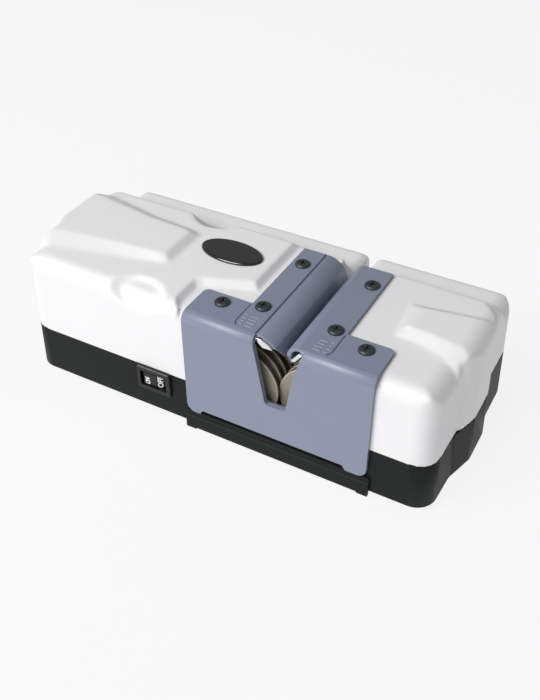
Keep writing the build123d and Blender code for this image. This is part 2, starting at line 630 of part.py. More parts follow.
def top_cover():
    """White shell: flat tops, raised bands, low rear shelf and the recess for the plate."""
    outer = upper_form(FLOOR_Z, 0, PARTING_Z) + shelf_form(0, PARTING_Z)
    outer += upper_form(LEFT_TOP_Z, 0, PARTING_Z) - recess_cutter()
    envelope = bulge_form(-1, LEFT_BAND_Z, 0, PARTING_Z, LEFT_BAND_END_ROUND)
    envelope += upper_form(LEFT_BAND_Z, 0, PARTING_Z, LEFT_BAND_END_ROUND)
    outer += left_band() & envelope
    envelope = bulge_form(1, RIGHT_BAND_Z, 0, PARTING_Z) + upper_form(RIGHT_BAND_Z, 0, PARTING_Z)
    outer += right_band() & envelope
    outer += bulge_form(-1, LEFT_TOP_Z, 0, PARTING_Z)
    outer += bulge_form(1, FLOOR_Z, 0, PARTING_Z)

    low = PARTING_Z - CUT
    hollow = upper_form(FLOOR_Z, COVER_WALL, low) + shelf_form(COVER_WALL, low)
    left_hollow = upper_form(LEFT_TOP_Z, COVER_WALL, low)
    left_limit = PLATE_LEFT_X - RECESS_SIDE_GAP - RECESS_SLOPE - COVER_WALL
    hollow += left_hollow & block((-FAR, left_limit), (-FAR, FAR), (0, FAR))
    for side, top in ((-1, LEFT_TOP_Z), (1, FLOOR_Z)):
        hollow += bulge_form(side, top, COVER_WALL, low)
    for lining in dimples(COVER_WALL):
        hollow -= lining
    hollow -= blade_slot(HOOD_Y[1] + FIT_GAP, FAR, COVER_WALL)
    shell = outer - hollow
    for dimple in dimples(0):
        shell -= dimple

    window_x = (LEFT_STRIP_X[1] + HOOD_GAP + HOOD_SEAT, RIGHT_STRIP_X[0] + LIP_ROOM)
    window_y = (FRONT_Y - CUT, HOOD_Y[1] + FIT_GAP)
    shell -= block(window_x, window_y, (FLOOR_Z - COVER_WALL - CUT, FAR))
    notch_end = FRONT_Y + COVER_WALL + NOTCH_RUN
    shell -= prism_xz(notch(NOTCH_RETURN_WALL + NOTCH_GAP), FRONT_Y - CUT, notch_end)
    shell -= blade_slot(HOOD_Y[1] - CUT, BACK_Y + CUT)

    ceiling = FLOOR_Z - COVER_WALL
    for x, y in SCREW_XY:
        shell += post(BOSS_RADIUS, ceiling - BOSS_DEPTH, ceiling + ROOT, x, y)
        shell -= post(SCREW_RADIUS + SCREW_GAP, ceiling - BOSS_DEPTH - CUT, FLOOR_Z + CUT, x, y)
    posts = case_posts(CASE_BOSS_RADIUS, PARTING_Z, PARTING_Z + CASE_BOSS_RISE)
    for piece in posts + corner_ribs(PARTING_Z, PARTING_Z + CASE_BOSS_RISE, COVER_WALL):
        shell += piece
    bore_end = PARTING_Z + CASE_BOSS_RISE - CASE_SCREW_TIP + CUT
    for bore in case_posts(CASE_SCREW_RADIUS + SCREW_GAP, PARTING_Z - CUT, bore_end):
        shell -= bore
    return shell


def tray_bay():
    """Ribs of the base on both sides of the tray and behind it, and the posts for the head."""
    z = (BASE_FLOOR_Z - ROOT, HEAD_BOTTOM_Z)
    front = FRONT_Y + BASE_WALL / 2
    back = TRAY_Y_BACK + TRAY_GAP
    left, right = TRAY_X[0] - TRAY_GAP, TRAY_X[1] + TRAY_GAP
    ribs = [
        block((left - BASE_WALL, left), (front, back + BASE_WALL), z),
        block((right, right + BASE_WALL), (front, back + BASE_WALL), z),
        block((left - BASE_WALL, right + BASE_WALL), (back, back + BASE_WALL), z),
    ]
    for x, y in lug_screws():
        ribs.append(post(BOSS_RADIUS, *z, x, y))
    return ribs


def lug_screws():
    """Places of the four screws that hold the grinding head down."""
    left = TRAY_X[0] - TRAY_GAP - BOSS_RADIUS - FIT_GAP
    right = TRAY_X[1] + TRAY_GAP + BOSS_RADIUS + FIT_GAP
    front = FRONT_PLATE_Y + LUG[1] / 2 + FRONT_PLATE / 2
    back = REAR_BLOCK_Y + REAR_BLOCK / 2
    return [(left, front), (right, front), (left, back), (right, back)]


def base_housing():
    """Black lower housing, open at the top, with the bay that the tray slides in."""
    shell = casing_prism(0, True, BASE_Z, PARTING_Z)
    shell -= casing_prism(BASE_WALL, True, BASE_FLOOR_Z, PARTING_Z + CUT)
    for rib in tray_bay():
        shell += rib
    wall_y = (FRONT_Y - CUT, FRONT_Y + BASE_WALL + CUT)
    mouth_x = (TRAY_X[0] - TRAY_GAP, TRAY_X[1] + TRAY_GAP)
    shell -= block(mouth_x, wall_y, (BASE_FLOOR_Z, TRAY_FRONT_Z[1] + TRAY_GAP))
    shell -= block(SLIT_X, wall_y, (BASE_FLOOR_Z, RELIEF_HEIGHT))
    opening = (SWITCH_BODY[0] + FIT_GAP, SWITCH_BODY[1] + FIT_GAP)
    shell -= prism_xz(framed(opening, SWITCH_BODY_CORNER), *wall_y)
    shell -= rod(GLAND_RADIUS, BACK_Y - BASE_WALL - CUT, BACK_Y + CUT, GLAND_X, GLAND_Z)
    low = BASE_FLOOR_Z - ROOT
    for piece in case_posts(CASE_BOSS_RADIUS, low, PARTING_Z) + corner_ribs(low, PARTING_Z, BASE_WALL):
        shell += piece
    for bore in case_posts(CASE_SCREW_RADIUS + SCREW_PASS_GAP, BASE_Z - CUT, PARTING_Z + CUT):
        shell -= bore
    seat = BASE_Z + CASE_SCREW_SEAT
    for counterbore in case_posts(CASE_SCREW_HEAD + SCREW_PASS_GAP, BASE_Z - CUT, seat):
        shell -= counterbore
    bore_end = HEAD_BOTTOM_Z + LUG[2] - LUG_SCREW_LENGTH - CUT
    for x, y in lug_screws():
        shell -= post(LUG_SCREW_RADIUS + SCREW_GAP, bore_end, HEAD_BOTTOM_Z + CUT, x, y)
    for x, y in saddle_screws():
        shell -= post(LUG_SCREW_RADIUS + SCREW_GAP, BASE_Z - CUT, BASE_FLOOR_Z + CUT, x, y)
    for x, y in foot_places():
        shell -= post(FOOT_RADIUS + RUNNING, BASE_Z - CUT, BASE_Z + FOOT_RECESS, x, y)
    return shell


def foot_places():
    x, y = FOOT_XY
    return [(sx * x, sy * y) for sx in (-1, 1) for sy in (-1, 1)]


def rubber_feet():
    feet = []
    for x, y in foot_places():
        foot = post(FOOT_RADIUS, 0, BASE_Z + FOOT_RECESS, x, y)
        feet.append(chamfer(foot.faces().sort_by(Axis.Z)[0].edges(), FOOT_CHAMFER))
    return group(feet)


def pan_head(radius, height, z, x, y):
    """Pan head with a cross socket, its flat underside at z."""
    disc = post(radius, z, z + height, x, y)
    head = fillet(disc.faces().sort_by(Axis.Z)[-1].edges(), height * PAN_ROUND)
    arm = radius * CROSS_REACH
    slot = radius * CROSS_WIDTH
    depth = (z + height * CROSS_FLOOR, z + height + CUT)
    cross = block((x - arm, x + arm), (y - slot, y + slot), depth)
    cross += block((x - slot, x + slot), (y - arm, y + arm), depth)
    return head - cross


def plate_screws():
    screws = []
    for x, y in SCREW_XY:
        head = pan_head(SCREW_HEAD_RADIUS, SCREW_HEAD_HEIGHT, PLATE_TOP_Z, x, y)
        screws.append(head + post(SCREW_RADIUS, PLATE_TOP_Z - SCREW_LENGTH, PLATE_TOP_Z, x, y))
    return group(screws)


def case_screws():
    """Screws that go up through the base into the cover."""
    seat = BASE_Z + CASE_SCREW_SEAT
    shanks = case_posts(CASE_SCREW_RADIUS, seat, PARTING_Z + CASE_BOSS_RISE - CASE_SCREW_TIP)
    heads = case_posts(CASE_SCREW_HEAD, seat - CASE_SCREW_HEAD_HEIGHT, seat)
    return group([shank + head for shank, head in zip(shanks, heads)])


# ---------------------------------------------------------------- guide plate and hood
def guide_plate():
    """Bent sheet: apron, fold, two front corners, two strips and a rolled lip."""
    inner = FOLD_RADIUS - SHEET
    low = APRON_CLEARANCE
    section = [(APRON_Y, low), (FRONT_Y, low), (FRONT_Y, FLOOR_Z, inner), (STRIP_BACK_Y, FLOOR_Z),
               (STRIP_BACK_Y, PLATE_TOP_Z), (APRON_Y, PLATE_TOP_Z, FOLD_RADIUS)]
    plate = prism_yz(section, PLATE_LEFT_X, PLATE_RIGHT_X)

    corner, inner_corner = PLATE_CORNER, PLATE_INNER_CORNER
    outer = [
        (PLATE_LEFT_X, APRON_Y - CUT), (PLATE_RIGHT_X, APRON_Y - CUT),
        (PLATE_RIGHT_X, PLATE_BACK_Y, corner), (RIGHT_STRIP_X[1], PLATE_BACK_Y, inner_corner),
        (RIGHT_STRIP_X[1], STRIP_BACK_Y, STRIP_CORNER), (LEFT_STRIP_X[0], STRIP_BACK_Y, STRIP_CORNER),
        (LEFT_STRIP_X[0], PLATE_BACK_Y, inner_corner), (PLATE_LEFT_X, PLATE_BACK_Y, corner),
    ]
    plate &= prism_xy(outer, 0, FAR)
    left, right = RELIEF_X
    edge_corner, top_corner = RELIEF_CORNER
    front = [
        (PLATE_LEFT_X, low, APRON_CORNER), (left, low, edge_corner),
        (left + RELIEF_SLOPE, RELIEF_HEIGHT, top_corner),
        (right - RELIEF_SLOPE, RELIEF_HEIGHT, top_corner),
        (right, low, edge_corner), (PLATE_RIGHT_X, low, APRON_CORNER),
        (PLATE_RIGHT_X, PLATE_TOP_Z + CUT), (PLATE_LEFT_X, PLATE_TOP_Z + CUT),
    ]
    plate &= prism_xz(front, -FAR, FAR)

    plate -= prism_xz(notch(0), APRON_Y - CUT, HOOD_Y[0])
    plate -= block((LEFT_STRIP_X[1], RIGHT_STRIP_X[0]), (HOOD_Y[0], FAR), (0, FAR))
    turned = prism_xz(notch(NOTCH_RETURN_WALL), APRON_Y, APRON_Y + NOTCH_RETURN)
    turned -= prism_xz(notch(0), APRON_Y - CUT, APRON_Y + NOTCH_RETURN + CUT)
    plate += turned & block((-FAR, FAR), (-FAR, FAR), (0, FLOOR_Z - inner))
    plate += lip_sheet(0, SHEET, (HOOD_Y[0], STRIP_BACK_Y))
    for x, y in SCREW_XY:
        plate -= post(SCREW_RADIUS + SCREW_HOLE_GAP, FLOOR_Z - CUT, PLATE_TOP_Z + CUT, x, y)
    return plate


def lip_section(inset):
    """Filled section in XZ under the right strip's rolled edge, drawn in by inset."""
    left = SLOT_X[1] + inset
    right = RIGHT_STRIP_X[0] + inset
    top = PLATE_TOP_Z - inset
    low = PLATE_TOP_Z - LIP_DROP - inset
    return outline([(left, low), (left, top, LIP_RADIUS - inset), (right, top), (right, low)])


def lip_sheet(inset, thickness, y):
    """Sheet that rolls down from the right strip's edge to the blade slot."""
    section = lip_section(inset) - lip_section(inset + thickness)
    sheet = extrude(Pos(0, y[1], 0) * (Plane.XZ * section), y[1] - y[0])
    sheet &= block((-FAR, RIGHT_STRIP_X[0]), (-FAR, FAR), (PLATE_TOP_Z - LIP_DROP, FAR))
    return sheet - front_slant(LIP_SLANT, RIGHT_STRIP_X[0])


def front_slant(slant, right):
    """Cutter that slopes back from a front end, for the side of the hood or of the lip."""
    depth, run = slant
    y = HOOD_Y[0]
    start = PLATE_TOP_Z - depth
    low = PLATE_TOP_Z - LIP_DROP - 2 * CUT
    return prism_yz([(y - CUT, low), (y + run * (start - low), low), (y - CUT, start + CUT / run)],
                    LEFT_STRIP_X[1], right)


def hood_section(inset):
    """Filled section of the hood in XZ, drawn in from its outside by inset."""
    left = LEFT_STRIP_X[1] + HOOD_GAP
    top = PLATE_TOP_Z - inset
    wall = SLOT_X[0] - inset
    low = PLATE_TOP_Z - HOOD_DROP
    edge = 0.0 if inset == 0 else CUT
    return outline([(left - edge, low - edge), (wall, low - edge),
                    (wall, top, HOOD_RADIUS - inset), (left - edge, top)])


def hood_sheet(inset, thickness, y):
    section = hood_section(inset) - hood_section(inset + thickness)
    sheet = extrude(Pos(0, y[1], 0) * (Plane.XZ * section), y[1] - y[0])
    left = LEFT_STRIP_X[1] + HOOD_GAP
    sheet &= block((left, FAR), (-FAR, FAR), (PLATE_TOP_Z - HOOD_DROP, FAR))
    return sheet - front_slant(HOOD_SLANT, FAR)


def guide_hood():
    """Quarter-round guard over the left discs; the blade slides along its side."""
    left = LEFT_STRIP_X[1] + HOOD_GAP
    foot = block((left, left + HOOD_SEAT - FIT_GAP), (HOOD_Y[0] + HOOD_FOOT_SETBACK, HOOD_Y[1]),
                 (FLOOR_Z, PLATE_TOP_Z - HOOD_SHEET))
    return hood_sheet(0, HOOD_SHEET, HOOD_Y) + foot


def hood_liner():
    """Bright guide strip inside the hood, turned down across the hood's front end."""
    first = HOOD_SHEET + LINER_GAP
    sheet = hood_sheet(first, LINER, (HOOD_Y[0] - LINER_GAP, HOOD_Y[1] - LINER_REACH))
    window = LEFT_STRIP_X[1] + HOOD_GAP + HOOD_SEAT + LINER_GAP
    sheet &= block((window, FAR), (-FAR, FAR), (0, FAR))
    y = HOOD_Y[0] - LINER_GAP
    face = extrude(Pos(0, y, 0) * (Plane.XZ * hood_section(first)), LINER)
    low = list(HOOD_LINER_FACE)
    return sheet + (face & prism_xz(low + [(low[-1][0], FAR), (low[0][0], FAR)], y - LINER, y))


def lip_liner():
    """Bright guide strip that slants down under the right strip's edge."""
    top_left, top_right = LIP_LINER_TOP
    low_left, low_right, low = LIP_LINER_LOW
    top = FLOOR_Z - 2 * LINER_GAP
    corners = [(low_left, low), (low_right, low), (top_right, top), (top_left, top)]
    return prism_xz(corners, HOOD_Y[0] - LINER_REACH, STRIP_BACK_Y - LINER_REACH)


def badge_plate():
    """Plain domed oval on the left top."""
    a, b = BADGE[0] / 2, BADGE[1] / 2
    oval = extrude(Ellipse(a, b), BADGE_HEIGHT)
    oval = fillet(oval.faces().sort_by(Axis.Z)[-1].edges(), BADGE_HEIGHT * BADGE_DOME)
    return Pos(*BADGE_XY, LEFT_TOP_Z) * Rot(0, 0, BADGE_TURN) * oval


# ---------------------------------------------------------------- grinding head
def disc_starts(side):
    first = FIRST_DISC_Y if side == "left" else FIRST_DISC_Y + DISC_PITCH / 2
    return [first + i * DISC_PITCH for i in range(DISCS)]


def axis_x(side):
    return LEFT_AXIS_X if side == "left" else RIGHT_AXIS_X


def grinding_disc(side, y):
    """Disc with bevelled rims, bored for the spindle."""
    x = axis_x(side)
    bevel = DISC_BEVEL
    profile = outline([(DISC_BORE_RADIUS + RUNNING, y), (DISC_RADIUS - bevel, y),
                       (DISC_RADIUS, y + bevel), (DISC_RADIUS, y + DISC_THICKNESS - bevel),
                       (DISC_RADIUS - bevel, y + DISC_THICKNESS),
                       (DISC_BORE_RADIUS + RUNNING, y + DISC_THICKNESS)])
    return Pos(x, 0, AXIS_Z) * revolve(profile, Axis.Y)


def spindle(side):
    x = axis_x(side)
    starts = disc_starts(side)
    front = FRONT_PLATE_Y + FIT_GAP
    stack = (FRONT_PLATE_Y + FRONT_PLATE + FIT_GAP, starts[-1] + DISC_THICKNESS)
    seat = REAR_BLOCK_Y - FIT_GAP
    shoulder = seat - SHOULDER_LENGTH
    end = SHAFT_END_Y if side == "left" else GEAR_Y + GEAR_WIDTH + SHAFT_END_GAP
    return (rod(SHAFT_RADIUS, front, end, x, AXIS_Z)
            + rod(DISC_BORE_RADIUS, stack[0], stack[1], x, AXIS_Z)
            + rod(SPACER_RADIUS, stack[1], shoulder, x, AXIS_Z)
            + rod(SHAFT_RADIUS + SHOULDER, shoulder, seat, x, AXIS_Z))


def spacers(side):
    x = axis_x(side)
    rings = []
    for start in disc_starts(side)[:-1]:
        rings.append(tube(SPACER_RADIUS, DISC_BORE_RADIUS + RUNNING, start + DISC_THICKNESS,
                          start + DISC_PITCH, x, AXIS_Z))
    return group(rings)


def retaining_ring(side):
    """Ring that closes the stack of discs at the front."""
    x = axis_x(side)
    front = disc_starts(side)[0]
    return tube(RING_RADIUS, DISC_BORE_RADIUS + RUNNING, front - RING_THICKNESS, front, x, AXIS_Z)


def lugs(y0, y1):
    """Feet that carry a bearing plate on the posts of the base."""
    z = (HEAD_BOTTOM_Z, HEAD_BOTTOM_Z + LUG[2])
    left = block((HEAD_X[0] - LUG[0], HEAD_X[0] + ROOT), (y0, y1), z)
    right = block((HEAD_X[1] - ROOT, HEAD_X[1] + LUG[0]), (y0, y1), z)
    return [left, right]


def lug_bores():
    z = (HEAD_BOTTOM_Z - CUT, HEAD_BOTTOM_Z + LUG[2] + CUT)
    return [post(LUG_SCREW_RADIUS + SCREW_PASS_GAP, *z, x, y) for x, y in lug_screws()]


def front_bearing_plate():
    """Steel plate behind the notch that holds the front ends of both spindles."""
    y = (FRONT_PLATE_Y, FRONT_PLATE_Y + FRONT_PLATE)
    plate = block(HEAD_X, y, (HEAD_BOTTOM_Z, HEAD_TOP_Z))
    plate -= prism_xz(notch(NOTCH_RETURN_WALL + NOTCH_GAP), y[0] - CUT, y[1] + CUT)
    for x in (LEFT_AXIS_X, RIGHT_AXIS_X):
        plate -= rod(BUSH_RADIUS, y[0] - CUT, y[1] + CUT, x, AXIS_Z)
    for lug in lugs(y[0], y[0] + LUG[1]):
        plate += lug
    for bore in lug_bores():
        plate -= bore
    return plate


def front_bushes():
    y = (FRONT_PLATE_Y, FRONT_PLATE_Y + FRONT_PLATE)
    return group([tube(BUSH_RADIUS, SHAFT_RADIUS + RUNNING, y[0], y[1], x, AXIS_Z)
                  for x in (LEFT_AXIS_X, RIGHT_AXIS_X)])


def rear_bearing_block():
    """Cast block with a bearing for each spindle, notched for the blade."""
    y = (REAR_BLOCK_Y, REAR_BLOCK_BACK_Y)
    valley = (LEFT_AXIS_X + RIGHT_AXIS_X) / 2
    cast = block(HEAD_X, y, (HEAD_BOTTOM_Z, HEAD_TOP_Z))
    floor = AXIS_Z + VALLEY_RISE
    top = HEAD_TOP_Z + CUT
    low_left, low_right = VALLEY_FLOOR
    top_left, top_right = VALLEY_TOP
    corner = VALLEY_CORNER
    cast -= prism_xz([(valley + low_left, floor, corner), (valley + low_right, floor, corner),
                      (valley + top_right, top), (valley + top_left, top)],
                     y[0] - CUT, y[1] + CUT)
    for x in (LEFT_AXIS_X, RIGHT_AXIS_X):
        cast -= rod(BEARING_RADIUS, y[0] - CUT, y[0] + BEARING_WIDTH, x, AXIS_Z)
        cast -= rod(SHAFT_RADIUS + BEARING_PASS, y[0], y[1] + CUT, x, AXIS_Z)
    for lug in lugs(y[0], y[1]):
        cast += lug
    for bore in lug_bores():
        cast -= bore
    return cast


def rear_bearings():
    y = (REAR_BLOCK_Y, REAR_BLOCK_Y + BEARING_WIDTH)
    return group([tube(BEARING_RADIUS, SHAFT_RADIUS + RUNNING, y[0], y[1], x, AXIS_Z)
                  for x in (LEFT_AXIS_X, RIGHT_AXIS_X)])


def dust_shields():
    """Thin walls that keep the swarf on the discs' side."""
    y = (FRONT_PLATE_Y, REAR_BLOCK_BACK_Y)
    z = (HEAD_BOTTOM_Z + LUG[2], HEAD_TOP_Z)
    return group([block((HEAD_X[0] - SHIELD, HEAD_X[0]), y, z),
                  block((HEAD_X[1], HEAD_X[1] + SHIELD), y, z)])


def head_screws():
    screws = []
    seat = HEAD_BOTTOM_Z + LUG[2]
    for x, y in lug_screws():
        head = pan_head(LUG_SCREW_HEAD, LUG_SCREW_HEAD_HEIGHT, seat, x, y)
        screws.append(head + post(LUG_SCREW_RADIUS, seat - LUG_SCREW_LENGTH, seat, x, y))
    return group(screws)


# ---------------------------------------------------------------- drive
def gear(side):
    """Spur gear; the right one is turned by half a tooth so that the two mesh."""
    pitch_radius = AXIS_DISTANCE / 2
    module = AXIS_DISTANCE / GEAR_TEETH
    tip = pitch_radius + module * TOOTH_RISE[0]
    root = pitch_radius - module * TOOTH_RISE[1]
    step = 2 * math.pi / GEAR_TEETH
    start = 0.0 if side == "left" else math.pi + step / 2
    wide, narrow = TOOTH
    tooth = ((-wide, root), (-narrow, tip), (narrow, tip), (wide, root))
    points = []
    for i in range(GEAR_TEETH):
        for share, radius in tooth:
            angle = start + (i + share) * step
            points.append((radius * math.cos(angle), radius * math.sin(angle)))
    x = axis_x(side)
    face = make_face(Polyline(*points, close=True))
    back = GEAR_Y + GEAR_WIDTH
    blank = extrude(Pos(x, back, AXIS_Z) * (Plane.XZ * face), GEAR_WIDTH)
    for web in ((GEAR_Y - CUT, GEAR_Y + GEAR_WEB), (back - GEAR_WEB, back + CUT)):
        blank -= tube(root - GEAR_RIM, GEAR_HUB_RADIUS, web[0], web[1], x, AXIS_Z)
    return blank - rod(SHAFT_RADIUS + RUNNING, GEAR_Y - CUT, back + CUT, x, AXIS_Z)


def pulley(radius, x):
    y = (PULLEY_Y, PULLEY_Y + PULLEY_WIDTH)
    wheel = rod(radius, y[0], y[1], x, AXIS_Z)
    for edge in (y[0], y[1] - PULLEY_FLANGE):
        wheel += rod(radius + PULLEY_FLANGE_RISE, edge, edge + PULLEY_FLANGE, x, AXIS_Z)
    return wheel - rod(SHAFT_RADIUS + RUNNING, y[0] - CUT, y[1] + CUT, x, AXIS_Z)


def belt_loop(grow):
    """Face inside a belt round both pulleys, grown outwards by grow."""
    small = MOTOR_PULLEY_RADIUS + grow
    large = DRIVEN_PULLEY_RADIUS + grow
    lean = math.asin((large - small) / (LEFT_AXIS_X - MOTOR_X))
    points = []
    for x, radius in ((MOTOR_X, small), (LEFT_AXIS_X, large)):
        dx = -radius * math.sin(lean)
        dz = radius * math.cos(lean)
        points.append(((x + dx, AXIS_Z + dz), (x + dx, AXIS_Z - dz)))
    (small_top, small_low), (large_top, large_low) = points
    edges = [Line(small_top, large_top),
             ThreePointArc(large_top, (LEFT_AXIS_X + large, AXIS_Z), large_low),
             Line(large_low, small_low),
             ThreePointArc(small_low, (MOTOR_X - small, AXIS_Z), small_top)]
    return make_face(Wire(edges))


def drive_belt():
    margin = PULLEY_FLANGE + BELT_GAP
    y = (PULLEY_Y + margin, PULLEY_Y + PULLEY_WIDTH - margin)
    ring = belt_loop(BELT_GAP + BELT_THICKNESS) - belt_loop(BELT_GAP)
    return extrude(Pos(0, y[1], 0) * (Plane.XZ * ring), y[1] - y[0])


# ---------------------------------------------------------------- motor
def motor_can():
    y = (MOTOR_FRONT_Y, MOTOR_BACK_Y)
    can = rod(MOTOR_RADIUS, y[0], y[1], MOTOR_X, AXIS_Z)
    can = fillet(can.faces().sort_by(Axis.Y)[0].edges(), MOTOR_WALL)
    can -= rod(MOTOR_RADIUS - MOTOR_WALL, y[0] + MOTOR_WALL, y[1] + CUT, MOTOR_X, AXIS_Z)
    return can - rod(SHAFT_RADIUS + RUNNING, y[0] - CUT, y[0] + MOTOR_WALL + CUT, MOTOR_X, AXIS_Z)


def motor_magnets():
    """Two curved magnets inside the can."""
    y = (MOTOR_FRONT_Y + MAGNET_END, MOTOR_BACK_Y - MAGNET_END)
    inner = ROTOR_RADIUS + MAGNET_GAP
    ring = tube(MOTOR_RADIUS - MOTOR_WALL, inner, y[0], y[1], MOTOR_X, AXIS_Z)
    ring -= block((MOTOR_X - MAGNET_SPLIT, MOTOR_X + MAGNET_SPLIT), (-FAR, FAR), (0, FAR))
    return group([ring])


def motor_end_bell():
    y = MOTOR_BACK_Y
    bell = rod(MOTOR_RADIUS, y, y + BELL, MOTOR_X, AXIS_Z)
    end = y + BELL + BELL_COLLAR
    bell += rod(GEAR_HUB_RADIUS, y + BELL, end, MOTOR_X, AXIS_Z)
    for i in range(VENTS):
        angle = 2 * math.pi * (i + 0.5) / VENTS
        x = MOTOR_X + VENT_CIRCLE * math.cos(angle)
        z = AXIS_Z + VENT_CIRCLE * math.sin(angle)
        bell -= rod(VENT_RADIUS, y - CUT, y + BELL + CUT, x, z)
    return bell - rod(SHAFT_RADIUS + RUNNING, y - CUT, end + CUT, MOTOR_X, AXIS_Z)


def motor_rotor():
    """Shaft with the wound core."""
    front = MOTOR_FRONT_Y - FAN_GAP - FAN_WIDTH - CUT
    core = (MOTOR_FRONT_Y + CORE_END, MOTOR_BACK_Y - CORE_END)
    rotor = rod(SHAFT_RADIUS, front, SHAFT_END_Y, MOTOR_X, AXIS_Z)
    rotor += rod(ROTOR_RADIUS, core[0], core[1], MOTOR_X, AXIS_Z)
    radius, length = COMMUTATOR
    return rotor + rod(radius, core[1], core[1] + length, MOTOR_X, AXIS_Z)


def motor_fan():
    """Cooling fan in front of the can."""
    y = (MOTOR_FRONT_Y - FAN_GAP - FAN_WIDTH, MOTOR_FRONT_Y - FAN_GAP)
    fan = rod(FAN_HUB_RADIUS, y[0], y[1], MOTOR_X, AXIS_Z)
    fan += rod(FAN_RADIUS, y[1] - FAN_WALL, y[1], MOTOR_X, AXIS_Z)
    half = FAN_WALL / 2
    for i in range(FAN_BLADES):
        blade = block((FAN_HUB_RADIUS - ROOT, FAN_RADIUS - ROOT), y, (-half, half))
        fan += Pos(MOTOR_X, 0, AXIS_Z) * Rot(0, 360 / FAN_BLADES * i, 0) * blade
    return fan - rod(SHAFT_RADIUS + RUNNING, y[0] - CUT, y[1] + CUT, MOTOR_X, AXIS_Z)


def saddle_screws():
    x = SADDLE_WIDTH / 2 + SADDLE_FOOT / 2
    return [(MOTOR_X + side * x, y) for side in (-1, 1)
            for y in (SADDLE_Y[0] + SADDLE_SCREW_INSET, SADDLE_Y[1] - SADDLE_SCREW_INSET)]


def motor_saddle():
    """Cradle on the base's floor that the motor lies in."""
    half = SADDLE_WIDTH / 2
    cradle = block((MOTOR_X - half, MOTOR_X + half), SADDLE_Y,
                   (BASE_FLOOR_Z, BASE_FLOOR_Z + SADDLE_HEIGHT))
    foot = half + SADDLE_FOOT
    cradle += block((MOTOR_X - foot, MOTOR_X + foot), SADDLE_Y,
                    (BASE_FLOOR_Z, BASE_FLOOR_Z + SADDLE_FOOT_HEIGHT))
    cradle -= rod(MOTOR_RADIUS, SADDLE_Y[0] - CUT, SADDLE_Y[1] + CUT, MOTOR_X, AXIS_Z)
    top = BASE_FLOOR_Z + SADDLE_FOOT_HEIGHT
    for x, y in saddle_screws():
        cradle -= post(LUG_SCREW_RADIUS + SCREW_PASS_GAP, BASE_Z, top + CUT, x, y)
    return cradle


def motor_screws():
    seat = BASE_FLOOR_Z + SADDLE_FOOT_HEIGHT
    screws = []
    for x, y in saddle_screws():
        head = pan_head(LUG_SCREW_HEAD, LUG_SCREW_HEAD_HEIGHT, seat, x, y)
        screws.append(head + post(LUG_SCREW_RADIUS, BASE_Z + FIT_GAP, seat, x, y))
    return group(screws)


# ---------------------------------------------------------------- tray, switch, gland and wiring
def swarf_tray():
    """Pull-out tray under the discs, with a ribbed front strip."""
    y = (FRONT_Y - FIT_GAP, TRAY_Y_BACK)
    low, high = TRAY_FRONT_Z
    tray = block(TRAY_X, y, (TRAY_BOTTOM_Z, high))
    tray -= block((TRAY_X[0] + TRAY_WALL, TRAY_X[1] - TRAY_WALL),
                  (y[0] + TRAY_WALL, y[1] - TRAY_WALL), (TRAY_BOTTOM_Z + TRAY_WALL, high + CUT))
    face = y[0] - TRAY_FRONT
    step_y = face + TRAY_LEDGE
    top_corner, ledge_corner = TRAY_CORNER
    section = [(face, low), (y[0], low), (y[0], high), (step_y, high, top_corner),
               (step_y, TRAY_LEDGE_Z + TRAY_LEDGE), (face, TRAY_LEDGE_Z, ledge_corner)]
    tray += prism_yz(section, *TRAY_FRONT_X)
    for x in (TRAY_FRONT_X[0], TRAY_FRONT_X[1] - TRAY_END_LENGTH):
        tray += block((x, x + TRAY_END_LENGTH), (face, y[0]), (low - TRAY_END_DROP, low + ROOT))
    return tray


def tray_magnet():
    """Bar magnet on the tray's floor that holds the swarf."""
    length, depth, height = MAGNET
    x = (LEFT_AXIS_X + RIGHT_AXIS_X) / 2
    y = TRAY_Y_BACK - TRAY_WALL - MAGNET_TO_WALL
    z = TRAY_BOTTOM_Z + TRAY_WALL
    return block((x - length / 2, x + length / 2), (y - depth, y), (z, z + height))


def framed(size, radius, rise=0.0):
    """Corners in XZ of a rounded rectangle about the switch's middle, or rise above it."""
    half_x, half_z = size[0] / 2, size[1] / 2
    return [(SWITCH_X + sx * half_x, SWITCH_Z + rise + sz * half_z, radius)
            for sx, sz in ((-1, -1), (1, -1), (1, 1), (-1, 1))]


def rocker_pivot_y():
    return FRONT_Y - BEZEL_PROUD + ROCKER_PIVOT_DEPTH


def rocker_pin(gap):
    """Upright pin from the floor to the ceiling of the switch's pocket, grown by gap."""
    half = ROCKER[1] / 2 + PIVOT_REACH + gap
    headroom = ROCKER_HEADROOM - ROCKER_GAP
    return post(PIVOT_RADIUS + gap, ROCKER_Z - half, ROCKER_Z + half + headroom,
                SWITCH_X, rocker_pivot_y())


def switch_housing():
    """Raised bezel and the body behind it."""
    face = FRONT_Y - BEZEL_PROUD
    housing = prism_xz(framed(BEZEL, BEZEL_CORNER), face, FRONT_Y)
    housing += prism_xz(framed(SWITCH_BODY, SWITCH_BODY_CORNER), FRONT_Y, FRONT_Y + SWITCH_DEPTH)
    housing = chamfer(housing.faces().sort_by(Axis.Y)[0].edges(), BEZEL_CHAMFER)
    pocket = (ROCKER[0] + 3 * ROCKER_GAP, ROCKER[1] + ROCKER_GAP + ROCKER_HEADROOM)
    rise = (ROCKER_HEADROOM - ROCKER_GAP) / 2 - ROCKER_DROP
    depth = rocker_pivot_y() + POCKET_DEPTH
    housing -= prism_xz(framed(pocket, SWITCH_BODY_CORNER, rise), face - CUT, depth)
    return housing - rocker_pin(RUNNING)


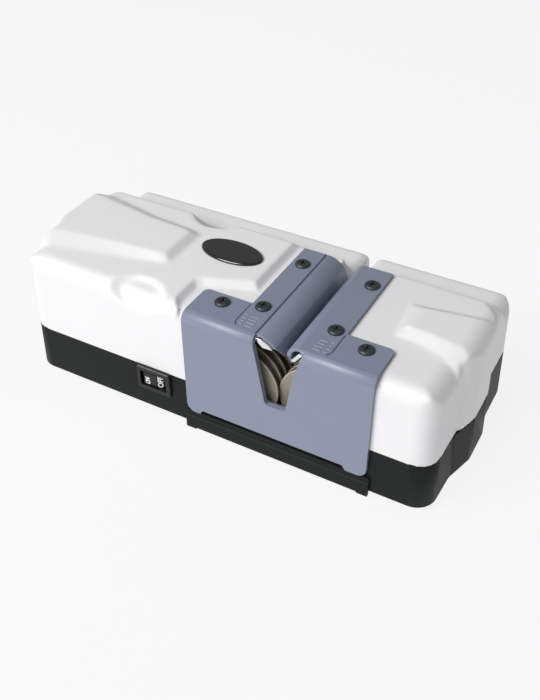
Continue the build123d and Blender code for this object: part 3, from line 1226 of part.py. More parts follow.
def switch_rocker():
    """Rocker with two tilted halves, on a pivot that stands upright."""
    half = ROCKER[0] / 2
    ridge, crown, back = ROCKER_FORM
    corners = [(-half, -ridge, ROCKER_CORNER), (0, -crown), (half, -ridge, ROCKER_CORNER),
               (half, ROCKER_SHOULDER), (half / 2, back), (-half / 2, back),
               (-half, ROCKER_SHOULDER)]
    body = extrude(Pos(0, 0, -ROCKER[1] / 2) * outline(corners), ROCKER[1])
    return Pos(SWITCH_X, rocker_pivot_y(), ROCKER_Z) * Rot(0, 0, ROCKER_TILT) * body + rocker_pin(0)


def switch_terminals():
    thickness, height, length = TERMINAL
    y = FRONT_Y + SWITCH_DEPTH
    z = (SWITCH_Z - height / 2, SWITCH_Z + height / 2)
    blades = []
    for side in (-1, 1):
        x = SWITCH_X + side * TERMINAL_SPREAD
        blades.append(block((x - thickness / 2, x + thickness / 2), (y, y + length), z))
    return group(blades)


def cord_gland():
    """Grommet in the back wall that the mains lead goes through."""
    inner = BACK_Y - BASE_WALL
    end = inner - GLAND_COLLAR_LENGTH
    gland = rod(GLAND_RADIUS, end, BACK_Y, GLAND_X, GLAND_Z)
    gland += rod(GLAND_RADIUS + GLAND_COLLAR, end, inner, GLAND_X, GLAND_Z)
    flange = rod(GLAND_FLANGE_RADIUS, BACK_Y, BACK_Y + GLAND_FLANGE, GLAND_X, GLAND_Z)
    gland += fillet(flange.faces().sort_by(Axis.Y)[-1].edges(), GLAND_FLANGE_ROUND)
    return gland - rod(CORD_RADIUS, end - CUT, BACK_Y + GLAND_FLANGE + CUT, GLAND_X, GLAND_Z)


def wire(points):
    path = FilletPolyline(*points, radius=WIRE_BEND)
    section = Plane(origin=path @ 0, z_dir=path % 0) * Circle(WIRE_RADIUS)
    return sweep(section, path=path)


def inner_wires():
    """Live lead to the switch, neutral lead to the motor, and the link between them."""
    start = BACK_Y - BASE_WALL - GLAND_COLLAR_LENGTH - WIRE_START
    terminal = FRONT_Y + SWITCH_DEPTH + TERMINAL[2]
    apart = WIRE_RADIUS + WIRE_GAP
    left, right = SWITCH_X - TERMINAL_SPREAD, SWITCH_X + TERMINAL_SPREAD
    motor_side = MOTOR_X + MOTOR_RADIUS + WIRE_RADIUS + WIRE_GAP
    live = [(GLAND_X + apart, start, GLAND_Z), (GLAND_X + apart, LIVE_TURN_Y[1], GLAND_Z),
            (right, LIVE_TURN_Y[0], SWITCH_Z), (right, terminal, SWITCH_Z)]
    near, far = NEUTRAL_TURN_Y
    neutral = [(GLAND_X - apart, start, GLAND_Z), (GLAND_X - apart, far, GLAND_Z),
               (GLAND_X - apart, near, AXIS_Z - NEUTRAL_DROP), (motor_side, near, AXIS_Z)]
    behind, turn_y, end_y = LINK_RISE_Y
    out, below = LINK_TURN
    link = [(left, terminal, SWITCH_Z), (left, terminal + behind, SWITCH_Z),
            (motor_side + out, turn_y, AXIS_Z - below), (motor_side, end_y, AXIS_Z)]
    return group([wire(points) for points in (live, neutral, link)])


# ---------------------------------------------------------------- all sub-parts
def main():
    os.makedirs("parts", exist_ok=True)
    for make in (base_housing, top_cover, guide_plate, plate_screws, guide_hood, hood_liner,
                 lip_liner, badge_plate, rubber_feet, case_screws, front_bearing_plate,
                 front_bushes, rear_bearing_block, rear_bearings, dust_shields, head_screws,
                 drive_belt, motor_can, motor_magnets, motor_end_bell, motor_rotor, motor_fan,
                 motor_saddle, motor_screws, swarf_tray, tray_magnet, switch_housing,
                 switch_rocker, switch_terminals, cord_gland, inner_wires):
        write(make.__name__, make())
    for side in ("left", "right"):
        write(f"{side}_spindle", spindle(side))
        write(f"{side}_spacers", spacers(side))
        write(f"{side}_retaining_ring", retaining_ring(side))
        write(f"{side}_spindle_gear", gear(side))
        for number, y in enumerate(disc_starts(side), start=1):
            write(f"{side}_grinding_disc_{number}", grinding_disc(side, y))
    write("driven_pulley", pulley(DRIVEN_PULLEY_RADIUS, LEFT_AXIS_X))
    write("motor_pulley", pulley(MOTOR_PULLEY_RADIUS, MOTOR_X))


if __name__ == "__main__":
    main()
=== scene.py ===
"""Looks of an electric knife sharpener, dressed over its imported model.

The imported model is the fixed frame: every piece here sits in the same frame, in metres, with +X
along the body, +Y to the back and +Z up. Sizes in the classes below are in millimetres.
"""

from __future__ import annotations

import logging
import math
from dataclasses import dataclass, field, replace
from enum import Enum
from typing import Any

import bmesh
import bpy
import numpy as np
from mathutils import Matrix, Vector

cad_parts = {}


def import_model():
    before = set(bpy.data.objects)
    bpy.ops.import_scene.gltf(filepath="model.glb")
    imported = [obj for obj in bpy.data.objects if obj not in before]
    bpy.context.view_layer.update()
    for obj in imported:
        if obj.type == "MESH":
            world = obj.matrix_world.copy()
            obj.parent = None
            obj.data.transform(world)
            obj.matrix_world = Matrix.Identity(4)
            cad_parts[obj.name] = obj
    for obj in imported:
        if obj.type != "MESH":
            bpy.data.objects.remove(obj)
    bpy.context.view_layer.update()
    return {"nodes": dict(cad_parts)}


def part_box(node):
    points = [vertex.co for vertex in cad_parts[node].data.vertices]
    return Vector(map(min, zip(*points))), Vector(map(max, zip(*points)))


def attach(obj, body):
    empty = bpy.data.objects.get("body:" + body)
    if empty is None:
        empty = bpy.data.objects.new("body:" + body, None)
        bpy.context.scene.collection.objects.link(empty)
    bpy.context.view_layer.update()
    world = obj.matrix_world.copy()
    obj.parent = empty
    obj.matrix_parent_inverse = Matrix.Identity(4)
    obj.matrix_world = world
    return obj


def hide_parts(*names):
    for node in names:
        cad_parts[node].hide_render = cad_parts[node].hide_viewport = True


LOG = logging.getLogger("knife_sharpener")
MM = 0.001
MERGE_REACH = 1e-6  # metres; split vertices closer than this are one
NOISE_DETAIL = 3.0
COAT_ROUGHNESS = 0.08
METAL_FROM = 0.5  # metallic from which a finish keeps the shader's own IOR


# ---------------------------------------------------------------- colours and nodes
def linear(code: str) -> tuple[float, float, float, float]:
    """Turn an sRGB hex colour into a linear one.

    Args:
        code: colour as "#RRGGBB".

    Returns:
        Linear red, green, blue and an alpha of 1.
    """
    shares = [int(code[i:i + 2], 16) / 255 for i in (1, 3, 5)]
    red, green, blue = (s / 12.92 if s <= 0.04045 else ((s + 0.055) / 1.055) ** 2.4 for s in shares)
    return red, green, blue, 1.0


def add_node(tree: bpy.types.NodeTree, kind: str, settings: dict[str, Any] | None = None,
             inputs: dict[str, Any] | None = None) -> bpy.types.Node:
    """Add one node to a tree, with its settings and its inputs.

    Args:
        tree: the node tree.
        kind: Blender's name for the kind of node.
        settings: values of the node's own properties.
        inputs: for each input socket, an output socket to link to it or a constant value.

    Returns:
        The new node.
    """
    node = tree.nodes.new(kind)
    for name, value in (settings or {}).items():
        setattr(node, name, value)
    for name, value in (inputs or {}).items():
        if isinstance(value, bpy.types.NodeSocket):
            tree.links.new(value, node.inputs[name])
        else:
            node.inputs[name].default_value = value
    return node


def mix_colors(tree: bpy.types.NodeTree, share: bpy.types.NodeSocket, first: Any,
               second: Any) -> bpy.types.NodeSocket:
    """Blend two colours.

    Args:
        tree: the node tree.
        share: the second colour's share, from 0 to 1.
        first: a linear colour, or a socket that gives one.
        second: the same for the other colour.

    Returns:
        The blended colour.
    """
    mix = add_node(tree, "ShaderNodeMix", {"data_type": "RGBA"}, {"Factor": share})
    ends = [socket for socket in mix.inputs if socket.type == "RGBA"]
    for socket, value in zip(ends, (first, second)):
        if isinstance(value, bpy.types.NodeSocket):
            tree.links.new(value, socket)
        else:
            socket.default_value = value
    return next(socket for socket in mix.outputs if socket.type == "RGBA")


# ---------------------------------------------------------------- finishes
class Lay(Enum):
    """How the fine pattern of a surface lies."""

    EVEN = (1.0, 1.0, 1.0)
    ALONG_X = (0.04, 1.0, 1.0)
    ALONG_Y = (1.0, 0.04, 1.0)


@dataclass(frozen=True)
class Finish:
    """One surface finish: a principled shader with a fine pattern in its colour, gloss and relief."""

    name: str
    color: str
    shade: str
    roughness: tuple[float, float]
    metallic: float = 0.0
    ior: float = 1.5
    coat: float = 0.0
    grain_mm: float = 0.6
    relief_mm: float = 0.01
    patch_mm: float = 18.0
    lay: Lay = Lay.EVEN

    def build(self) -> bpy.types.Material:
        """Make the material.

        Returns:
            The new material.
        """
        material = bpy.data.materials.new(self.name)
        material.use_nodes = True
        tree = material.node_tree
        tree.nodes.clear()
        place = add_node(tree, "ShaderNodeTexCoord").outputs["Object"]
        grain = self.noise(tree, place, self.grain_mm, self.lay.value)
        patches = self.noise(tree, place, self.patch_mm, Lay.EVEN.value)
        color = self.paint(tree, place, patches)
        gloss = add_node(tree, "ShaderNodeMapRange", inputs={
            "Value": patches, "To Min": self.roughness[0], "To Max": self.roughness[1]})
        relief = add_node(tree, "ShaderNodeBump", inputs={
            "Height": grain, "Strength": 1.0, "Distance": self.relief_mm * MM})
        shader = add_node(tree, "ShaderNodeBsdfPrincipled", inputs={
            "Base Color": color, "Roughness": gloss.outputs["Result"],
            "Normal": relief.outputs["Normal"], "Metallic": self.metallic,
            "Coat Weight": self.coat, "Coat Roughness": COAT_ROUGHNESS})
        if self.metallic < METAL_FROM:
            shader.inputs["IOR"].default_value = self.ior
        add_node(tree, "ShaderNodeOutputMaterial", inputs={"Surface": shader.outputs["BSDF"]})
        return material

    def noise(self, tree: bpy.types.NodeTree, place: bpy.types.NodeSocket, size_mm: float,
              stretch: tuple[float, float, float]) -> bpy.types.NodeSocket:
        """Add a noise whose features have a real size.

        Args:
            tree: the node tree.
            place: coordinates in metres.
            size_mm: size of one feature.
            stretch: scale along each axis; a small one draws the pattern out along it.

        Returns:
            The noise's value, from 0 to 1.
        """
        mapped = add_node(tree, "ShaderNodeMapping", inputs={"Vector": place, "Scale": stretch})
        noise = add_node(tree, "ShaderNodeTexNoise", inputs={
            "Vector": mapped.outputs["Vector"], "Scale": 1 / (size_mm * MM),
            "Detail": NOISE_DETAIL})
        return noise.outputs["Fac"]

    def paint(self, tree: bpy.types.NodeTree, place: bpy.types.NodeSocket,
              patches: bpy.types.NodeSocket) -> bpy.types.NodeSocket:
        """Mix the finish's two colours over its patches.

        Args:
            tree: the node tree.
            place: coordinates in metres; not used here.
            patches: the wide noise.

        Returns:
            The colour.
        """
        return mix_colors(tree, patches, linear(self.color), linear(self.shade))


@dataclass(frozen=True)
class GroundDisc(Finish):
    """Abrasive-coated steel: grit on the sides, a painted highlight along the rim and painted shade
    on the outer edge.
    """

    axis_x_mm: float = 0.0
    axis_z_mm: float = 0.0
    rim_mm: float = 25.1
    edge_mm: float = 25.9
    # The rim colour is a painted highlight on the rim's bevel; the edge colour is painted shade on
    # the outer edge.
    rim: str = "#D6CEB6"
    edge: str = "#6E695C"

    def paint(self, tree: bpy.types.NodeTree, place: bpy.types.NodeSocket,
              patches: bpy.types.NodeSocket) -> bpy.types.NodeSocket:
        """Paint a highlight at the rim and shade on the edge.

        Args:
            tree: the node tree.
            place: coordinates in metres.
            patches: the wide noise.

        Returns:
            The colour.
        """
        base = super().paint(tree, place, patches)
        centred = add_node(tree, "ShaderNodeMapping", inputs={
            "Vector": place, "Location": (-self.axis_x_mm * MM, 0.0, -self.axis_z_mm * MM),
            "Scale": (1.0, 0.0, 1.0)})
        radius = add_node(tree, "ShaderNodeVectorMath", {"operation": "LENGTH"},
                          {"Vector": centred.outputs["Vector"]})
        # Painted highlight: the pale rim colour rises between these two radii.
        rim_highlight_share = add_node(tree, "ShaderNodeMapRange", {"interpolation_type": "SMOOTHSTEP"}, {
            "Value": radius.outputs["Value"], "From Min": self.rim_mm * MM,
            "From Max": self.edge_mm * MM})
        side = mix_colors(tree, rim_highlight_share.outputs["Result"], base, linear(self.rim))
        # Painted shade: the dark edge colour past the outer radius.
        in_edge_shade = add_node(tree, "ShaderNodeMath", {"operation": "GREATER_THAN"},
                        {0: radius.outputs["Value"], 1: self.edge_mm * MM})
        return mix_colors(tree, in_edge_shade.outputs["Value"], side, linear(self.edge))


# Satin moulded ABS with a very fine spark-eroded texture: soft, wide highlights.
WHITE_ABS = Finish("white_moulded_abs", "#E8E8E9", "#E4E4E5", (0.46, 0.54), grain_mm=0.9,
                   relief_mm=0.006)
# The same plastic in black with a coarser texture: flat and dark, with hardly any reflection.
BLACK_ABS = Finish("black_grained_abs", "#1C1F1F", "#191B1B", (0.46, 0.56), ior=1.22,
                   grain_mm=0.8, relief_mm=0.02)
# Powder coat over bent sheet: even colour, slight orange peel and a satin sheen along the folds.
POWDER_COAT = Finish("slate_blue_powder_coat", "#82889B", "#7E8497", (0.31, 0.38), grain_mm=1.2,
                     relief_mm=0.006)
# The coat's own colour in the shade of a narrow groove.
SHADED_GROOVE = Finish("shaded_groove", "#484D5F", "#434859", (0.50, 0.60), grain_mm=1.2,
                       relief_mm=0.006)
# Black oxide on steel: a dark grey skin with a dull metal gloss.
BLACK_OXIDE = Finish("black_oxide_steel", "#4C5154", "#434749", (0.40, 0.50), metallic=0.6,
                     grain_mm=0.4, relief_mm=0.006)
# Polished strip: a near mirror that shows as white flashes.
POLISHED_STEEL = Finish("polished_steel", "#E8EAEC", "#DDE0E3", (0.08, 0.16), metallic=1.0,
                        grain_mm=0.8, relief_mm=0.002, lay=Lay.ALONG_Y)
# Turned on a lathe: fine rings that draw the highlight out.
TURNED_STEEL = Finish("turned_steel", "#B9BABB", "#A9AAAB", (0.24, 0.34), metallic=1.0,
                      grain_mm=0.3, relief_mm=0.004, lay=Lay.ALONG_X)
# The same rings in a paler metal.
TURNED_ALUMINIUM = Finish("turned_aluminium", "#C6C8CA", "#B8BABC", (0.26, 0.36), metallic=1.0,
                          grain_mm=0.3, relief_mm=0.004, lay=Lay.ALONG_X)
# Zinc plate: cool grey with uneven gloss.
ZINC_PLATE = Finish("zinc_plated_steel", "#A9ACAE", "#989B9E", (0.30, 0.46), metallic=1.0,
                    grain_mm=1.5, relief_mm=0.004)
# Die casting: a matt, slightly rough skin.
CAST_ALUMINIUM = Finish("die_cast_aluminium", "#A5A6A7", "#999A9B", (0.42, 0.55), metallic=1.0,
                        grain_mm=0.9, relief_mm=0.03)
# Sintered bronze: warm and matt from its open grain.
BRONZE = Finish("sintered_bronze", "#B08A54", "#9A7847", (0.35, 0.48), metallic=1.0,
                grain_mm=0.3, relief_mm=0.01)
# Natural nylon: waxy cream.
NYLON = Finish("natural_nylon", "#DED8C8", "#D6CFBD", (0.42, 0.50), ior=1.53, grain_mm=0.7,
               relief_mm=0.01)
# Glass fibres dull the black and roughen its skin.
DARK_NYLON = Finish("glass_filled_nylon", "#232425", "#1D1E1F", (0.48, 0.60), ior=1.53,
                    grain_mm=0.5, relief_mm=0.02)
# Rubber: deep black without a clear highlight.
RUBBER = Finish("moulded_rubber", "#1A1A1B", "#141415", (0.62, 0.75), ior=1.52, grain_mm=0.6,
                relief_mm=0.02)
# Ferrite: dark grey ceramic with a chalky skin.
FERRITE = Finish("sintered_ferrite", "#37383A", "#2D2E30", (0.52, 0.66), ior=1.6, grain_mm=0.4,
                 relief_mm=0.02)
# Laminations and copper windings seen as one: brown metal, ribbed round the shaft.
WOUND_CORE = Finish("laminated_core", "#7E6350", "#5F5650", (0.40, 0.55), metallic=0.8,
                    grain_mm=0.5, relief_mm=0.05, lay=Lay.ALONG_X)
# A poured resin dome: black under a clear gloss.
DOMED_RESIN = Finish("domed_black_resin", "#17181A", "#121314", (0.10, 0.16), ior=1.52, coat=1.0,
                     grain_mm=4.0, relief_mm=0.002)
# Smooth moulded nylon: black with a small clear highlight.
SWITCH_NYLON = Finish("glossy_switch_nylon", "#161818", "#131414", (0.24, 0.32), ior=1.38,
                      grain_mm=0.7, relief_mm=0.006)
# Pad-printed ink: flat white.
PAD_PRINT = Finish("white_pad_print", "#F2F3F3", "#E9EAEA", (0.40, 0.50), grain_mm=0.4,
                   relief_mm=0.004)
# Soft PVC sleeve: dull brown with a weak sheen.
WIRE_SLEEVE = Finish("wire_sleeve", "#5A2A22", "#4C231D", (0.36, 0.46), ior=1.53, grain_mm=0.8,
                     relief_mm=0.006)
# Abrasive on steel: sandy grey grit. The two stacks differ only in their axes.
LEFT_DISC = GroundDisc("ground_disc_left", "#A29C8F", "#8F897C", (0.38, 0.52), metallic=0.2,
                       grain_mm=0.5, relief_mm=0.05, patch_mm=5.0, axis_x_mm=13.9, axis_z_mm=47.0)
RIGHT_DISC = replace(LEFT_DISC, name="ground_disc_right", axis_x_mm=64.9)


@dataclass
class Wardrobe:
    """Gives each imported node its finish."""

    finishes: dict[Finish, tuple[str, ...]] = field(default_factory=lambda: {
        WHITE_ABS: ("top_cover",),
        BLACK_ABS: ("base_housing", "swarf_tray"),
        POWDER_COAT: ("guide_plate", "guide_hood"),
        BLACK_OXIDE: ("plate_screws",),
        POLISHED_STEEL: ("hood_liner", "lip_liner"),
        TURNED_STEEL: ("left_spindle", "right_spindle", "left_retaining_ring",
                       "right_retaining_ring", "rear_bearings"),
        TURNED_ALUMINIUM: ("left_spacers", "right_spacers", "driven_pulley", "motor_pulley"),
        ZINC_PLATE: ("front_bearing_plate", "motor_can", "case_screws", "head_screws",
                     "motor_screws"),
        CAST_ALUMINIUM: ("rear_bearing_block", "motor_end_bell"),
        BRONZE: ("front_bushes", "switch_terminals"),
        NYLON: ("left_spindle_gear", "right_spindle_gear"),
        DARK_NYLON: ("dust_shields", "motor_saddle", "motor_fan"),
        RUBBER: ("drive_belt", "rubber_feet", "cord_gland"),
        FERRITE: ("motor_magnets", "tray_magnet"),
        WOUND_CORE: ("motor_rotor",),
        DOMED_RESIN: ("badge_plate",),
        SWITCH_NYLON: ("switch_housing", "switch_rocker"),
        WIRE_SLEEVE: ("inner_wires",),
        LEFT_DISC: tuple(f"left_grinding_disc_{n}" for n in range(1, 10)),
        RIGHT_DISC: tuple(f"right_grinding_disc_{n}" for n in range(1, 10)),
    })

    def dress(self, nodes: dict[str, bpy.types.Object]) -> None:
        """Assign every finish to its nodes.

        Args:
            nodes: the frame's nodes by name.
        """
        for finish, names in self.finishes.items():
            material = finish.build()
            for name in names:
                wear(nodes[name], material)
            LOG.info("%s on %s", finish.name, ", ".join(names))


def wear(piece: bpy.types.Object, material: bpy.types.Material) -> None:
    """Put one material on the whole of a piece.

    Args:
        piece: a mesh or text object.
        material: the material.
    """
    if not piece.data.materials:
        piece.data.materials.append(material)
    for slot in piece.material_slots:
        slot.material = material


def add_piece(name: str, mesh: bpy.types.Mesh, material: bpy.types.Material,
              body: str) -> bpy.types.Object:
    """Add a mesh as a piece that rides on a body.

    Args:
        name: the piece's name.
        mesh: its mesh, in metres in the frame.
        material: its material.
        body: the body it moves with.

    Returns:
        The new object.
    """
    piece = bpy.data.objects.new(name, mesh)
    bpy.context.scene.collection.objects.link(piece)
    wear(piece, material)
    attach(piece, body)
    LOG.info("%s rides on %s", name, body)
    return piece


@dataclass
class SoftEdges:
    """Thin rounded edges that catch the light on pressed and moulded parts."""

    widths: dict[str, float] = field(default_factory=lambda: {
        "guide_plate": 0.35, "guide_hood": 0.3, "base_housing": 0.5, "swarf_tray": 0.35,
        "switch_housing": 0.25, "switch_rocker": 0.3, "front_bearing_plate": 0.2,
        "hood_liner": 0.2, "lip_liner": 0.2})
    segments: int = 2
    sharp_from: float = 35.0

    def build(self, nodes: dict[str, bpy.types.Object]) -> None:
        """Round the edges of every listed node.

        Args:
            nodes: the frame's nodes by name.
        """
        for name, width in self.widths.items():
            weld = nodes[name].modifiers.new("joined_corners", "WELD")
            weld.merge_threshold = MERGE_REACH
            bevel = nodes[name].modifiers.new("soft_edges", "BEVEL")
            bevel.width = width * MM
            bevel.segments = self.segments
            bevel.limit_method = "ANGLE"
            bevel.angle_limit = math.radians(self.sharp_from)
            bevel.harden_normals = True
            LOG.info("%s has %.2f mm edges", name, width)


# ---------------------------------------------------------------- moulded cover
@dataclass
class CoverShell:
    """The white cover with the soft edges that its mould gives."""

    voxel: float = 0.8
    passes: int = 26
    step: float = 0.5
    rim_height: float = 3.0
    rim_softness: float = 0.06
    recess_softness: float = 0.35
    plate_reach: float = 14.0
    weight_steps: int = 20

    def build(self, node: bpy.types.Object) -> bpy.types.Object:
        """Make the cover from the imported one.

        Args:
            node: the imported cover.

        Returns:
            The new piece.
        """
        mesh = self.welded(node)
        shell = bpy.data.objects.new("cover_shell", mesh)
        bpy.context.scene.collection.objects.link(shell)
        remesh = shell.modifiers.new("even_faces", "REMESH")
        remesh.mode = "VOXEL"
        remesh.voxel_size = self.voxel * MM
        self.apply(shell)
        self.soften(shell)
        for polygon in shell.data.polygons:
            polygon.use_smooth = True
        wear(shell, node.material_slots[0].material)
        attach(shell, "casing")
        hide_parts("top_cover")
        LOG.info("cover_shell has %d faces", len(shell.data.polygons))
        return shell

    def welded(self, node: bpy.types.Object) -> bpy.types.Mesh:
        """Copy a node's mesh with its split vertices joined.

        Args:
            node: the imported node.

        Returns:
            The new mesh.
        """
        form = bmesh.new()
        form.from_mesh(node.data)
        bmesh.ops.remove_doubles(form, verts=form.verts, dist=MERGE_REACH)
        mesh = bpy.data.meshes.new("cover_shell")
        form.to_mesh(mesh)
        form.free()
        return mesh

    def apply(self, piece: bpy.types.Object) -> None:
        """Replace a piece's mesh by what its modifiers make of it.

        Args:
            piece: the piece.
        """
        graph = bpy.context.evaluated_depsgraph_get()
        made = bpy.data.meshes.new_from_object(piece.evaluated_get(graph))
        piece.modifiers.clear()
        piece.data = made

    def soften(self, shell: bpy.types.Object) -> None:
        """Round the edges by smoothing, less where the mould is crisp.

        Args:
            shell: the evenly meshed cover.
        """
        count = len(shell.data.vertices)
        places = np.empty(count * 3)
        shell.data.vertices.foreach_get("co", places)
        weights = self.softness(places.reshape(-1, 3) / MM)
        group = shell.vertex_groups.new(name="softness")
        for share in np.unique(weights):
            group.add(np.flatnonzero(weights == share).tolist(), float(share), "REPLACE")
        smooth = shell.modifiers.new("soft_edges", "SMOOTH")
        smooth.factor = self.step
        smooth.iterations = self.passes
        smooth.vertex_group = group.name
        self.apply(shell)

    def softness(self, places: np.ndarray) -> np.ndarray:
        """How far each vertex may be smoothed, from 0 to 1.

        Args:
            places: vertices in millimetres.

        Returns:
            One weight for each vertex, in even steps.
        """
        plate_low, plate_high = (np.array(c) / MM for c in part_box("guide_plate"))
        cover_low, _ = (np.array(c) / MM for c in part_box("top_cover"))
        rim = np.clip((places[:, 2] - cover_low[2]) / self.rim_height, self.rim_softness, 1.0)
        reach = self.plate_reach
        away = np.maximum.reduce([plate_low[0] - reach - places[:, 0],
                                  places[:, 0] - plate_high[0],
                                  places[:, 1] - plate_high[1] - reach / 2])
        near_plate = np.clip(self.recess_softness + away / reach, self.recess_softness, 1.0)
        return np.round(np.minimum(rim, near_plate) * self.weight_steps) / self.weight_steps


# ---------------------------------------------------------------- switch lettering and plate marks
@dataclass(frozen=True)
class WordPlace:
    """Where a word lies on the rocker: side of its ridge, and measures in millimetres."""

    side: int
    length: float
    reach: float
    drop: float


class Word(Enum):
    """The rocker's two words."""

    ON = WordPlace(side=-1, length=5.2, reach=5.8, drop=1.2)
    OFF = WordPlace(side=1, length=8.8, reach=3.0, drop=0.1)


@dataclass
class RockerLettering:
    """White words printed on the rocker's two faces, read from the bottom up."""

    cap_height: float = 3.5
    print_height: float = 0.12
    tilt: float = 12.0
    face_lean: float = 11.56
    crown: float = 4.8
    font_depth: float = 0.05
    boldness: float = 0.03
    pivot: tuple[float, float, float] = (-44.1, -60.2, 26.9)

    def build(self, material: bpy.types.Material) -> None:
        """Make both words.

        Args:
            material: the print.
        """
        facing = Matrix.Rotation(math.pi / 2, 4, "X")
        upright = Matrix.Rotation(math.pi / 2, 4, "Z")
        rocked = (Matrix.Translation(Vector(self.pivot) * MM)
                  @ Matrix.Rotation(math.radians(self.tilt), 4, "Z"))
        for word in Word:
            spot = word.value
            mesh = self.letters(word.name, spot.length)
            lean = math.radians(spot.side * self.face_lean)
            depth = self.crown - spot.reach * math.tan(math.radians(self.face_lean))
            on_face = Matrix.Translation(Vector((spot.side * spot.reach, -depth, -spot.drop)) * MM)
            mesh.transform(rocked @ on_face @ Matrix.Rotation(lean, 4, "Z") @ facing @ upright)
            piece = add_piece(f"rocker_word_{word.name.lower()}", mesh, material, "rocker")

    def letters(self, text: str, length: float) -> bpy.types.Mesh:
        """Make a word as a flat mesh, centred, of a given length and cap height.

        Args:
            text: the word.
            length: its length in millimetres.

        Returns:
            The new mesh, lying in XY.
        """
        curve = bpy.data.curves.new(text, "FONT")
        curve.body = text
        curve.extrude = self.font_depth
        curve.offset = self.boldness
        writer = bpy.data.objects.new(text, curve)
        bpy.context.scene.collection.objects.link(writer)
        graph = bpy.context.evaluated_depsgraph_get()
        mesh = bpy.data.meshes.new_from_object(writer.evaluated_get(graph))
        bpy.data.objects.remove(writer)
        corners = np.array([v.co for v in mesh.vertices])
        low, high = corners.min(0), corners.max(0)
        middle = Vector((low + high) / 2)
        spans = (length * MM, self.cap_height * MM, 2 * self.print_height * MM)
        scales = [span / extent for span, extent in zip(spans, high - low)]
        mesh.transform(Matrix.Diagonal((*scales, 1.0)) @ Matrix.Translation(-middle))
        return mesh


@dataclass(frozen=True)
class Stroke:
    """One straight raised mark on the plate, in millimetres in the frame."""

    start: tuple[float, float]
    end: tuple[float, float]
    width: float
    rise: float


@dataclass
class PlateMarks:
    """Score lines, small raised bars and the hood's seam, which show where the blade goes; the score
    lines and the seam are thin strips of painted shade.
    """

    height: float = 0.22
    width: float = 1.6
    score_width: float = 1.0
    seam_width: float = 1.4
    groove_rise: float = 0.03
    sunk: float = 0.02
    top_share: float = 0.55
    middle_x: float = 41.5
    score: tuple[tuple[float, float], ...] = ((11.6, -39.3), (11.6, -56.8), (13.6, -60.0))
    bars: tuple[tuple[float, float, float], ...] = (
        (13.2, 15.6, -48.6), (17.0, 22.4, -49.0), (13.2, 15.8, -51.6), (17.2, 22.6, -52.0),
        (13.4, 16.0, -54.6), (17.4, 22.8, -55.0), (14.4, 16.4, -57.4), (17.8, 22.8, -57.8))

    def build(self, coat: bpy.types.Material, groove: bpy.types.Material) -> None:
        """Make the marks of both strips.

        Args:
            coat: the plate's own finish, for the bars.
            groove: a darker finish, painted shade for the score lines and the seam.
        """
        _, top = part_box("guide_plate")
        bars = [Stroke((x0, y), (x1, y), self.width, self.height) for x0, x1, y in self.bars]
        lines = [Stroke(start, end, self.score_width, self.groove_rise)
                 for start, end in zip(self.score, self.score[1:])]
        for side, mirrored in (("left", False), ("right", True)):
            # The score lines and the seam carry painted shade; the bars keep the coat's own finish.
            shaded_grooves = lines if mirrored else lines + [self.seam()]
            for kind, strokes, material in (("bars", bars, coat), ("score", shaded_grooves, groove)):
                name = f"{side}_plate_{kind}"
                mesh = self.raised(name, strokes, top.z, mirrored)
                piece = add_piece(name, mesh, material, "casing")

    def seam(self) -> Stroke:
        """Strip of painted shade along the gap that the hood's edge leaves on the left strip.

        Returns:
            The stroke, from back to front.
        """
        low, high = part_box("guide_hood")
        edge = low.x / MM - self.seam_width / 2
        return Stroke((edge, high.y / MM), (edge, low.y / MM), self.seam_width, self.groove_rise)

    def raised(self, name: str, strokes: list[Stroke], level: float,
               mirrored: bool) -> bpy.types.Mesh:
        """Make strokes with bevelled sides as one mesh.

        Args:
            name: the mesh's name.
            strokes: the strokes.
            level: height of the plate's top in metres.
            mirrored: whether they lie on the right strip.

        Returns:
            The new mesh.
        """
        form = bmesh.new()
        for stroke in strokes:
            self.add_stroke(form, stroke, level, mirrored)
        mesh = bpy.data.meshes.new(name)
        form.to_mesh(mesh)
        form.free()
        return mesh

    def add_stroke(self, form: bmesh.types.BMesh, stroke: Stroke, level: float,
                   mirrored: bool) -> None:
        """Add one closed stroke to a mesh.

        Args:
            form: the mesh it joins.
            stroke: the stroke.
            level: height of the plate's top in metres.
            mirrored: whether it lies on the right strip.
        """
        a, b = Vector(stroke.start), Vector(stroke.end)
        along = (b - a).normalized()
        across = Vector((-along.y, along.x))
        rings = []
        for share, z in ((1.0, -self.sunk), (self.top_share, stroke.rise)):
            reach = along * stroke.width * (share - 1) / 2
            half = across * stroke.width * share / 2
            ring = [a - reach - half, b + reach - half, b + reach + half, a - reach + half]
            if mirrored:
                ring = [Vector((2 * self.middle_x - p.x, p.y)) for p in reversed(ring)]
            rings.append([form.verts.new((p.x * MM, p.y * MM, level + z * MM)) for p in ring])
        low, high = rings
        form.faces.new(high)
        form.faces.new(reversed(low))
        for i in range(len(low)):
            j = (i + 1) % len(low)
            form.faces.new((low[i], low[j], high[j], high[i]))


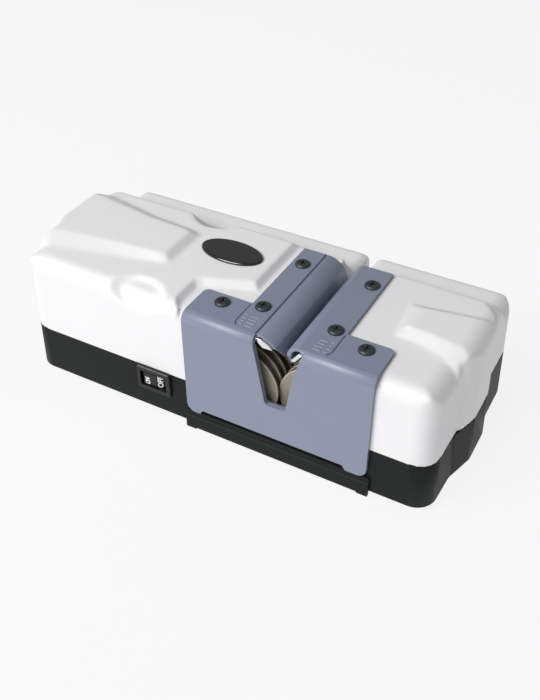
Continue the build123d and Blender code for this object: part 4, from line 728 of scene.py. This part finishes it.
# ---------------------------------------------------------------- studio
@dataclass
class Studio:
    """Pale floor, soft light and the camera: the camera in millimetres, the rest in metres."""

    camera_place: tuple[float, float, float] = (216.836, -391.673, 391.778)
    azimuth: float = 28.674
    elevation: float = 39.502
    lens: float = 45.34
    sensor: float = 36.0
    surround: str = "#FBFBFC"
    ambient: float = 0.26
    floor_half: float = 12.0
    floor_base: str = "#505051"
    floor_glow: str = "#F7F7F8"
    floor_roughness: float = 0.9
    glow_strength: float = 0.93
    key_place: tuple[float, float, float] = (-0.70, -1.38, 1.60)
    key_size: float = 1.3
    key_power: float = 49.0
    aim: tuple[float, float, float] = (0.0, 0.0, 0.05)

    def build(self) -> None:
        """Set up the whole studio."""
        scene = bpy.context.scene
        scene.view_settings.view_transform = "Standard"
        self.add_camera(scene)
        self.add_world(scene)
        self.add_floor(scene)
        self.add_key_light(scene)

    def add_camera(self, scene: bpy.types.Scene) -> None:
        """Place the camera.

        Args:
            scene: the scene it films.
        """
        data = bpy.data.cameras.new("camera")
        data.lens = self.lens
        data.sensor_width = self.sensor
        camera = bpy.data.objects.new("camera", data)
        camera.location = Vector(self.camera_place) * MM
        camera.rotation_euler = (math.radians(90 - self.elevation), 0.0,
                                 math.radians(self.azimuth))
        scene.collection.objects.link(camera)
        scene.camera = camera

    def add_world(self, scene: bpy.types.Scene) -> None:
        """Give the scene an even pale surround.

        Args:
            scene: the scene.
        """
        world = bpy.data.worlds.new("surround")
        world.use_nodes = True
        scene.world = world
        world.node_tree.nodes.clear()
        glow = add_node(world.node_tree, "ShaderNodeBackground", inputs={
            "Color": linear(self.surround), "Strength": self.ambient})
        add_node(world.node_tree, "ShaderNodeOutputWorld",
                 inputs={"Surface": glow.outputs["Background"]})

    def add_floor(self, scene: bpy.types.Scene) -> None:
        """Lay the floor, which glows so that it stays as pale as the surround.

        Args:
            scene: the scene.
        """
        half = self.floor_half
        mesh = bpy.data.meshes.new("floor")
        mesh.from_pydata([(-half, -half, 0), (half, -half, 0), (half, half, 0), (-half, half, 0)],
                         [], [(0, 1, 2, 3)])
        floor = bpy.data.objects.new("floor", mesh)
        scene.collection.objects.link(floor)
        material = bpy.data.materials.new("pale_studio_floor")
        material.use_nodes = True
        shader = material.node_tree.nodes["Principled BSDF"]
        shader.inputs["Base Color"].default_value = linear(self.floor_base)
        shader.inputs["Roughness"].default_value = self.floor_roughness
        shader.inputs["Specular IOR Level"].default_value = 0.0
        shader.inputs["Emission Color"].default_value = linear(self.floor_glow)
        shader.inputs["Emission Strength"].default_value = self.glow_strength
        wear(floor, material)

    def add_key_light(self, scene: bpy.types.Scene) -> None:
        """Add one large square light that faces the object.

        Args:
            scene: the scene.
        """
        data = bpy.data.lights.new("key_light", "AREA")
        data.size = self.key_size
        data.energy = self.key_power
        light = bpy.data.objects.new("key_light", data)
        light.location = self.key_place
        facing = Vector(self.key_place) - Vector(self.aim)
        light.rotation_euler = facing.to_track_quat("Z", "Y").to_euler()
        scene.collection.objects.link(light)


def main() -> None:
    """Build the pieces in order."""
    logging.basicConfig(level=logging.INFO, format="%(name)s: %(message)s")
    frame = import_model()
    nodes = frame["nodes"]
    Wardrobe().dress(nodes)
    SoftEdges().build(nodes)
    CoverShell().build(nodes["top_cover"])
    RockerLettering().build(PAD_PRINT.build())
    PlateMarks().build(nodes["guide_plate"].material_slots[0].material, SHADED_GROOVE.build())
    Studio().build()


if __name__ == "__main__":
    main()
